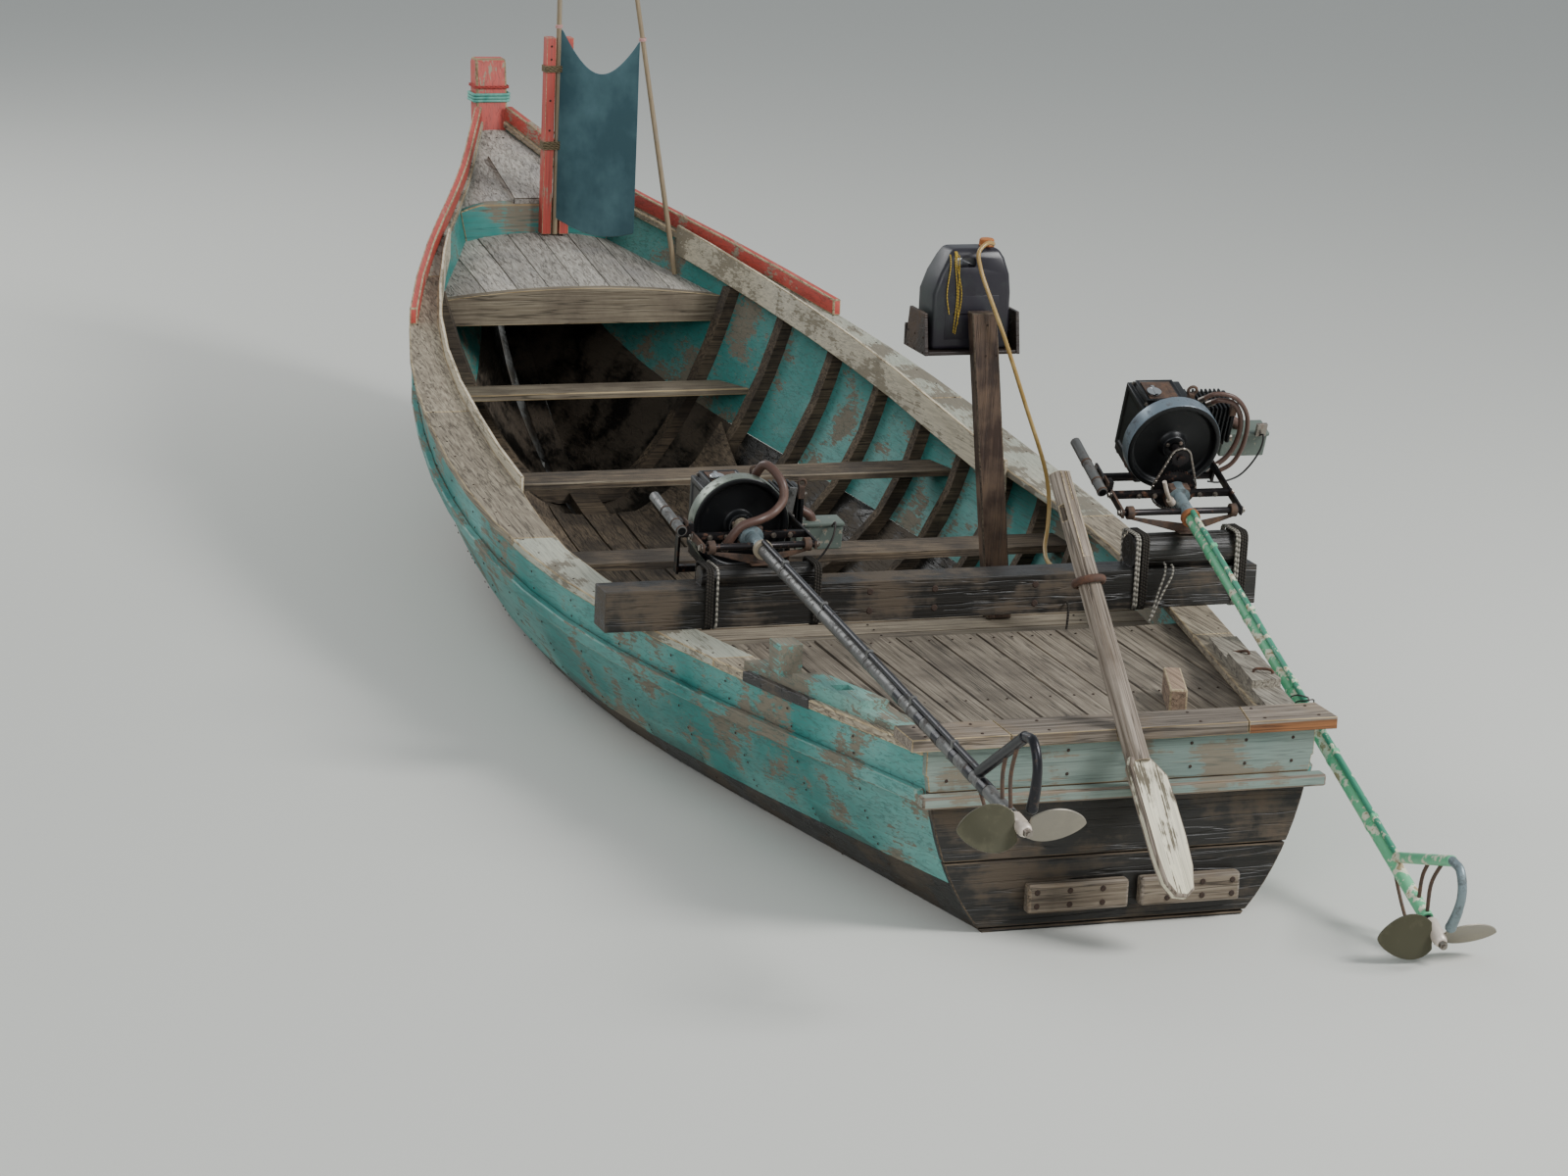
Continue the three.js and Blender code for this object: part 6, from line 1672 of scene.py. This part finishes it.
class LONGTAIL_OT_propellers(bpy.types.Operator):
    """Two-bladed propellers: broad thin blades twisted on a conical hub with its nut"""
    bl_idname = "longtail.propellers"
    bl_label = "Propellers"

    def execute(self, context):
        for drive in DRIVES:
            self.propeller(drive)
        return {"FINISHED"}

    def blade(self, name):
        """One blade from a bent grid: broad oval outline, thin edges and more pitch near the hub."""
        half = 0.084
        deselect_all()
        bpy.ops.mesh.primitive_grid_add(x_subdivisions=30, y_subdivisions=20, size=2)
        piece = settle(primitive(name))
        for vertex in piece.data.vertices:
            u, v = (vertex.co.x + 1) / 2, vertex.co.y
            radius = 0.022 + u * 0.213
            swell = math.sin(math.pi * min(1.0, 0.085 + 0.915 * u) ** 0.80) if u < 1 else 0.0
            reach = half * swell ** 0.62
            pitch = math.radians(31 - 8 * u)
            chord = v * max(reach, 0.004)
            camber = 0.007 * (1 - v * v) * math.sin(math.pi * u)
            vertex.co = (chord * math.sin(pitch) + camber, radius, chord * math.cos(pitch))
        modify(piece, "SOLIDIFY", thickness=0.0055, offset=0)
        return wear_edges(piece, 0.0022, 2, 50, 1)

    def propeller(self, drive):
        def fasten(piece, skin, node=None, ahead=0.0):
            """Fixes a piece drawn from the end of the tail's tube to the propeller's body."""
            shift(piece, ahead - drive.tail, 0, 0)
            return drive.fit(piece, skin, "propeller_metal", node, f"{drive.side}_propeller")

        left, right = self.blade("blade_left"), self.blade("blade_right")
        right.data.transform(Matrix.Rotation(math.pi, 4, "X"))
        # The left blade takes the shaded copy of the bronze and the right blade the lit copy: painted shade
        # and painted light.
        for piece, skin in ((left, "blade_painted_shade"), (right, "blade_painted_light")):
            fasten(smooth(piece, 50), [skin, "worn_steel"], ahead=0.014)
            piece.name = f"{piece.name}_{drive.side}"
        hub = lathe(f"propeller_hub_{drive.side}", ((0.086, 0.012), (0.086, 0.0275), (0.082, 0.029),
            (0.02, 0.0285), (-0.014, 0.026), (-0.030, 0.021), (-0.034, 0.015), (-0.034, 0.001)), 36)
        fasten(smooth(hub, 40), "hub_pale", f"propeller_{drive.side}")
        nut = wear_edges(rod("propeller_nut", (-0.034, 0, 0), (-0.052, 0, 0), 0.017, 6), 0.0015)
        tip = rod("shaft_tip", (-0.052, 0, 0), (-0.060, 0, 0), 0.0085, 20)
        fasten(joined(f"propeller_nut_{drive.side}", [nut, tip]), "worn_steel")
        neck = rod(f"propeller_shaft_{drive.side}", (0.084, 0, 0), (0.1112, 0, 0), 0.0158, 20)
        fasten(smooth(neck, 40), "dark_steel")


# Fuel can on its stand

# The tray and the can are drawn about the middle of their undersides, which stand here

TRAY, CAN = Vector((2.860, -0.432, 1.560)), Vector((2.860, -0.432, 1.5766))


class LONGTAIL_OT_fuel(bpy.types.Operator):
    """Moulded fuel can with handle and cap, in a boarded tray on a post"""
    bl_idname = "longtail.fuel"
    bl_label = "Fuel can and stand"

    def execute(self, context):
        self.stand()
        self.can()
        return {"FINISHED"}

    def stand(self):
        """A leaning post board that rises before an open tray of boards."""
        deck, top, rake = 0.4103, 1.752, 0.146
        post = block("stand_post", (2.672, -0.057, deck), (2.732, 0.057, top))
        for vertex in post.data.vertices:
            vertex.co.y += -0.600 + rake * (vertex.co.z - deck) / (top - deck)
        wear_edges(post, 0.006, edge_material=1)
        finish_piece(post, ["post_wood", "hold_wood"], "fuel_stand")
        long, half, wall = 0.131, 0.216, 0.016
        boards = [
            block("tray_floor", (0.004 - long, wall - half, 0), (-0.002, half - wall, wall)),
            block("tray_floor", (0.002, wall - half, 0), (long - wall, half - wall, wall)),
            block("tray_fore", (long - wall, -half, 0), (long, half, 0.096)),
        ]
        for y in (-half, half - wall):
            end = block("tray_end", (-long, y, 0), (long - wall - 0.001, y + wall, 0.178))
            edit(end, faces_up)
            bpy.ops.transform.resize(value=(0.72, 1, 1))
            close_edit()
            boards.append(end)
        for board in boards:
            wear_edges(board, 0.003, edge_material=1)
            set_tone(board, CHANCE.uniform(-1, 1))
        for outer, inner in ((-0.208, -0.180), (0.188, 0.192)):
            boards.append(block("tray_cleat", (long - 0.055, outer, wall), (long - wall, inner, 0.088)))
        boards = shift(joined("fuel_tray_boards", boards), *TRAY)
        finish_piece(boards, ["tray_wood", "hold_wood"])
        heads = [(TRAY + Vector((x, side * (half + 0.0005), z)), (0, side, 0)) for side in (-1, 1)
            for x in (0.03 - long, 0, long - 0.05) for z in (0.010, 0.075)]
        heads += [((2.6715, y, z), AFT) for y in (-0.520, -0.470) for z in (1.568, 1.700)]
        nails("tray_nail_heads", heads, 0.011)

    def can(self):
        """A blown can that narrows upwards, with a handle over an opening, a ribbed cap and a mould line."""
        body = block("moulded_can", (-0.093, -0.176, 0), (0.093, 0.176, 0.240))
        for height, port, starboard, deep in ((0.080, 0.148, -0.168, 0.090),
                (0.068, 0.112, -0.146, 0.080), (0.041, 0.090, -0.122, 0.062)):
            edit(body, faces_up)
            bpy.ops.mesh.extrude_region_move(TRANSFORM_OT_translate={"value": (0, 0, height)})
            close_edit()
            top = max(v.co.z for v in body.data.vertices)
            for vertex in body.data.vertices:
                if vertex.co.z > top - 0.001:
                    vertex.co.y = port if vertex.co.y > 0 else starboard
                    vertex.co.x = math.copysign(deep, vertex.co.x)
        opening = worn_block("grip_opening", (-0.2, -0.012, 0.352), (0.2, 0.082, 0.393), 0.010, 3, 60)
        carve(wear_edges(body, 0.020, 4, 30), opening)
        wear_edges(body, 0.004, 2, 50)
        finish_piece(shift(smooth(body, 45), *CAN), "jerrycan", "fuel_can")
        panel = worn_block("can_panel", (-0.0945, -0.120, 0.045), (-0.091, 0.120, 0.232), 0.0028, 2)
        ridge = worn_block("can_mould_line", (-0.0945, -0.086, 0.150), (-0.0925, 0.086, 0.156), 0.0008)
        panel = shift(joined("can_side_panel", [panel, ridge]), *CAN)
        finish_piece(smooth(panel, 40), "jerrycan")
        cap_y = -0.088
        cap = lathe("can_cap", ((-0.012, 0.001), (-0.012, 0.030), (0.004, 0.034), (0.006, 0.0335),
            (0.008, 0.0325), (0.028, 0.0315), (0.033, 0.026), (0.035, 0.001)), 30)
        inset(cap, lambda face: abs(face.normal.x) < 0.3 and face.area > 0.00009,
            (0.0009, -0.0008), use_individual=True)
        cap.data.transform(Matrix.Translation((0, cap_y, 0.428)) @ Matrix.Rotation(-math.pi / 2, 4, "Y"))
        spigot = rod("can_spigot", (-0.028, cap_y, 0.450), (-0.046, cap_y, 0.450), 0.0098, 16)
        cap = shift(joined("can_cap_and_spigot", [smooth(cap, 30), smooth(spigot)]), *CAN)
        finish_piece(cap, "cap_rust")
        strands = []
        for y, spread, low in ((0.070, -0.018, 0.070), (0.078, -0.006, 0.075), (0.060, 0.006, 0.110),
                (0.100, 0.018, 0.155)):
            line = route(((-0.052, y, 0.398), (-0.070, y + 0.002, 0.404), (-0.088, y + 0.004, 0.360),
                (-0.098, y + spread, 0.240), (-0.0985, y + 0.004, low)), 6)
            strands.append(tube("twine_strand", line, 0.0024, 6))
        line = [(math.cos(a) * 0.020 - 0.058, 0.070 + 0.004 * a / math.tau, 0.400 + 0.017 * math.sin(a))
            for a in (math.tau * k / 10 for k in range(31))]
        strands.append(tube("twine_knot", line, 0.003, 6))
        finish_piece(shift(joined("handle_twine", strands), *CAN), "yellow_twine")


# Mast, poles and cloth

class LONGTAIL_OT_mast(bpy.types.Operator):
    """Painted posts with their bolts, bamboo poles with nodes, ties and string"""
    bl_idname = "longtail.mast"
    bl_label = "Mast and poles"

    def execute(self, context):
        posts = mesh_copy("mast_posts", "painted_mast_posts")
        wear_edges(posts, 0.006, 2, 40, 1)
        finish_piece(posts, ["red_upright", "fresh_edge"], "mast_posts")
        heads = [((7.9635, y, z), AFT) for z in (1.72, 1.88, 2.10, 2.17) for y in (-0.1285, -0.032)]
        nails("mast_nail_heads", heads, 0.013)
        for node, radius, foot, head in (("mast_pole", 0.015, -0.083, -0.072),
                ("cloth_pole", 0.014, -0.600, -0.318)):
            low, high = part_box(node)
            base, top = Vector(((low[0] + high[0]) / 2, foot, low[2] + 0.006)), Vector(((low[0] + high[0])
                / 2, head, 2.600))
            count = 15
            points, ring = [], []
            for k in range(count * 6 + 1):
                share = k / (count * 6)
                points.append(base.lerp(top, share))
                near = abs((share * count) % 1 - 0.5)
                ring.append(0.95 + 0.05 * (near - 0.44) / 0.06 if 0.44 <= near < 0.5 else 1.0)
            culm = tube(f"{node}_culm", points, radius, 14,
                taper=lambda s: (1.0 - 0.14 * s) * ring[int(round(s * count * 6))])
            finish_piece(culm, "bamboo", node)
            knots = []
            axis = (top - base).normalized()
            for k in range(1, count):
                at = base.lerp(top, k / count)
                knot = rod("culm_node", at - axis * 0.004, at + axis * 0.004,
                    radius * (1.035 - 0.14 * k / count), 18)
                knots.append(wear_edges(knot, 0.003, 2))
            finish_piece(smooth(joined(f"{node}_nodes", knots)), "bamboo")
        winding("mast_tie_low", (8.0017, -0.080, 1.640), (0.039, 0.0735), "z", 5, 0.0045, "rope")
        winding("mast_tie_high", (8.0017, -0.080, 2.050), (0.039, 0.0735), "z", 4, 0.0045, "rope")
        for name, pole_x, y, z in (("cloth_tie_mast", 7.984, -0.0733, 2.275),
                ("cloth_tie_pole", 7.450, -0.3757, 2.275)):
            ring = []
            for k in range(37):
                out, side = around(0.0175, 30 * k)
                ring.append((pole_x + out, y + side, z + 0.006 * (k / 12 - 1.5)))
            finish_piece(tube(name, ring, 0.0028, 8), "pink_string")
        return {"FINISHED"}


class LONGTAIL_OT_cloth(bpy.types.Operator):
    """Cloth tied by two corners between the poles, let down by a cloth simulation"""
    bl_idname = "longtail.cloth"
    bl_label = "Hung cloth"

    def execute(self, context):
        wide, long = 0.74, 1.02
        start, stop = Vector((7.969, -0.082, 2.270)), Vector((7.465, -0.368, 2.270))
        run = stop - start
        count_u, count_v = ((30, 40))
        deselect_all()
        bpy.ops.mesh.primitive_grid_add(x_subdivisions=count_u, y_subdivisions=count_v, size=1)
        piece = settle(primitive("hung_cotton_cloth"))
        flat = run.normalized()
        side = Vector((0, 0, 1)).cross(flat)
        span = run.length
        depth = math.sqrt(max(0.0, wide ** 2 - span ** 2)) / 2
        corners = []
        for vertex in piece.data.vertices:
            u, v = vertex.co.x + 0.5, vertex.co.y + 0.5
            bow = math.sin(math.pi * u)
            ripple = 0.012 * math.sin(7.3 * u + 2.2 * v) * bow
            vertex.co = (start + flat * (span * u) + side * (ripple + 0.02 * bow)
                + Vector((0, 0, -(1 - v) * long - 0.9 * depth * bow * (0.25 + 0.75 * v))))
            if v > 0.999 and min(u, 1 - u) < 0.001:
                corners.append(vertex.co.copy())
        near = [v.index for v in piece.data.vertices if min((v.co - at).length for at in corners) < 0.03]
        piece.vertex_groups.new(name="tied").add(near, 1.0, "REPLACE")
        take_up(piece)
        modifier = piece.modifiers.new("Cloth", "CLOTH")
        for key, value in (("quality", 7), ("mass", 0.25), ("tension_stiffness", 14),
                ("compression_stiffness", 14), ("shear_stiffness", 4), ("bending_stiffness", 0.12),
                ("air_damping", 2.0), ("vertex_group_mass", "tied")):
            setattr(modifier.settings, key, value)
        modifier.collision_settings.use_self_collision = False
        modifier.collision_settings.use_collision = False
        last = 60
        modifier.point_cache.frame_start = 1
        modifier.point_cache.frame_end = last
        for k in range(1, last + 1):
            bpy.context.scene.frame_set(k)
        bpy.ops.object.modifier_apply(modifier=modifier.name)
        bpy.context.scene.frame_set(1)
        piece.vertex_groups.clear()
        modify(piece, "SOLIDIFY", thickness=0.0016, offset=0)
        modify(piece, "SUBSURF", levels=1)
        smooth(piece, 180)
        finish_piece(piece, "cotton", "hung_cloth")
        return {"FINISHED"}


class LONGTAIL_OT_stern_trim(bpy.types.Operator):
    """Chafing pad on the port gunwale, staples in the starboard blocks and the chock on the aft deck"""
    bl_idname = "longtail.stern_trim"
    bl_label = "Stern trim"

    def execute(self, context):
        pad = mesh_copy("gunwale_cap_port", "chafing_pad")
        for x, inner in ((PAD_ENDS[0], True), (PAD_ENDS[1], False)):
            edit(pad)
            bpy.ops.mesh.bisect(plane_co=(x, 0, 0), plane_no=(1, 0, 0), use_fill=True,
                clear_inner=inner, clear_outer=not inner)
            close_edit()
        modify(pad, "DISPLACE", strength=0.004, mid_level=0.0)
        wear_edges(pad, 0.004)
        finish_piece(pad, "black_pad")
        chock = block("deck_chock", (0, -0.034, 0), (0.320, 0.034, 0.110))
        wear_edges(chock, 0.007, edge_material=1)
        settle(chock, Matrix.Translation((0.535, -0.474, 0.5985)) @ Matrix.Rotation(math.radians(-19),
            4, "Z"))
        finish_piece(chock, ["chock_wood", "fresh_edge"])
        staples = []
        for start, end in STAPLES:
            feet = [Vector((x, y, top_at("quarter_block_starboard", x, y))) for x, y in (start, end)]
            points = route((feet[0] - Vector((0, 0, 0.010)), feet[0] + Vector((0, 0, 0.010)),
                (feet[0] + feet[1]) / 2 + Vector((0.006, 0, 0.015)), feet[1] + Vector((0, 0, 0.010)),
                feet[1] - Vector((0, 0, 0.010))), 6)
            staples.append(tube("iron_staple", points, 0.0055, 10))
        finish_piece(joined("iron_staples", staples), "ring_rust")
        return {"FINISHED"}


PAD_ENDS = (0.74, 1.20)
STAPLES = (((0.925, -0.860), (0.845, -0.905)), ((0.570, -0.800), (0.535, -0.860)))


def top_at(node, x, y):
    """Height of a CAD node's upper surface over a point."""
    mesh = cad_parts[node].data
    tree = BVHTree.FromPolygons([v.co for v in mesh.vertices], [face.vertices[:] for face in mesh.polygons])
    place = tree.ray_cast(Vector((x, y, 5)), Vector((0, 0, -1)))[0]
    if place is None:
        raise RuntimeError(f"{node} has no surface under {x}, {y}")
    return place.z


OPERATORS = (
    LONGTAIL_OT_stage, LONGTAIL_OT_cords, LONGTAIL_OT_hull, LONGTAIL_OT_bow,
    LONGTAIL_OT_decks, LONGTAIL_OT_stern,
    LONGTAIL_OT_crossbeam, LONGTAIL_OT_rudder, LONGTAIL_OT_engines, LONGTAIL_OT_flywheels,
    LONGTAIL_OT_tails,
    LONGTAIL_OT_propellers, LONGTAIL_OT_fuel, LONGTAIL_OT_mast, LONGTAIL_OT_cloth, LONGTAIL_OT_stern_trim,
)


class LONGTAIL_PT_panel(bpy.types.Panel):
    """Lists the boat's pieces and its colours and sizes"""
    bl_idname = "LONGTAIL_PT_panel"
    bl_label = "Longtail boat"
    bl_space_type = "VIEW_3D"
    bl_region_type = "UI"
    bl_category = "Longtail"

    def draw(self, context):
        layout = self.layout
        for operator in OPERATORS:
            layout.operator(operator.bl_idname)
        for group in (context.scene.longtail_paint, context.scene.longtail_sizes):
            box = layout.box()
            for key in group.bl_rna.properties.keys():
                if key not in ("rna_type", "name"):
                    box.prop(group, key)


CLASSES = (LongtailPaint, LongtailSizes, *OPERATORS, LONGTAIL_PT_panel)


def register():
    for cls in CLASSES:
        bpy.utils.register_class(cls)
    bpy.types.Scene.longtail_paint = bpy.props.PointerProperty(type=LongtailPaint)
    bpy.types.Scene.longtail_sizes = bpy.props.PointerProperty(type=LongtailSizes)


def unregister():
    del bpy.types.Scene.longtail_sizes
    del bpy.types.Scene.longtail_paint
    for cls in reversed(CLASSES):
        bpy.utils.unregister_class(cls)


def main():
    register()
    for operator in OPERATORS:
        group, call = operator.bl_idname.split(".")
        getattr(getattr(bpy.ops, group), call)()
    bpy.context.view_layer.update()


if __name__ == "__main__":
    main()
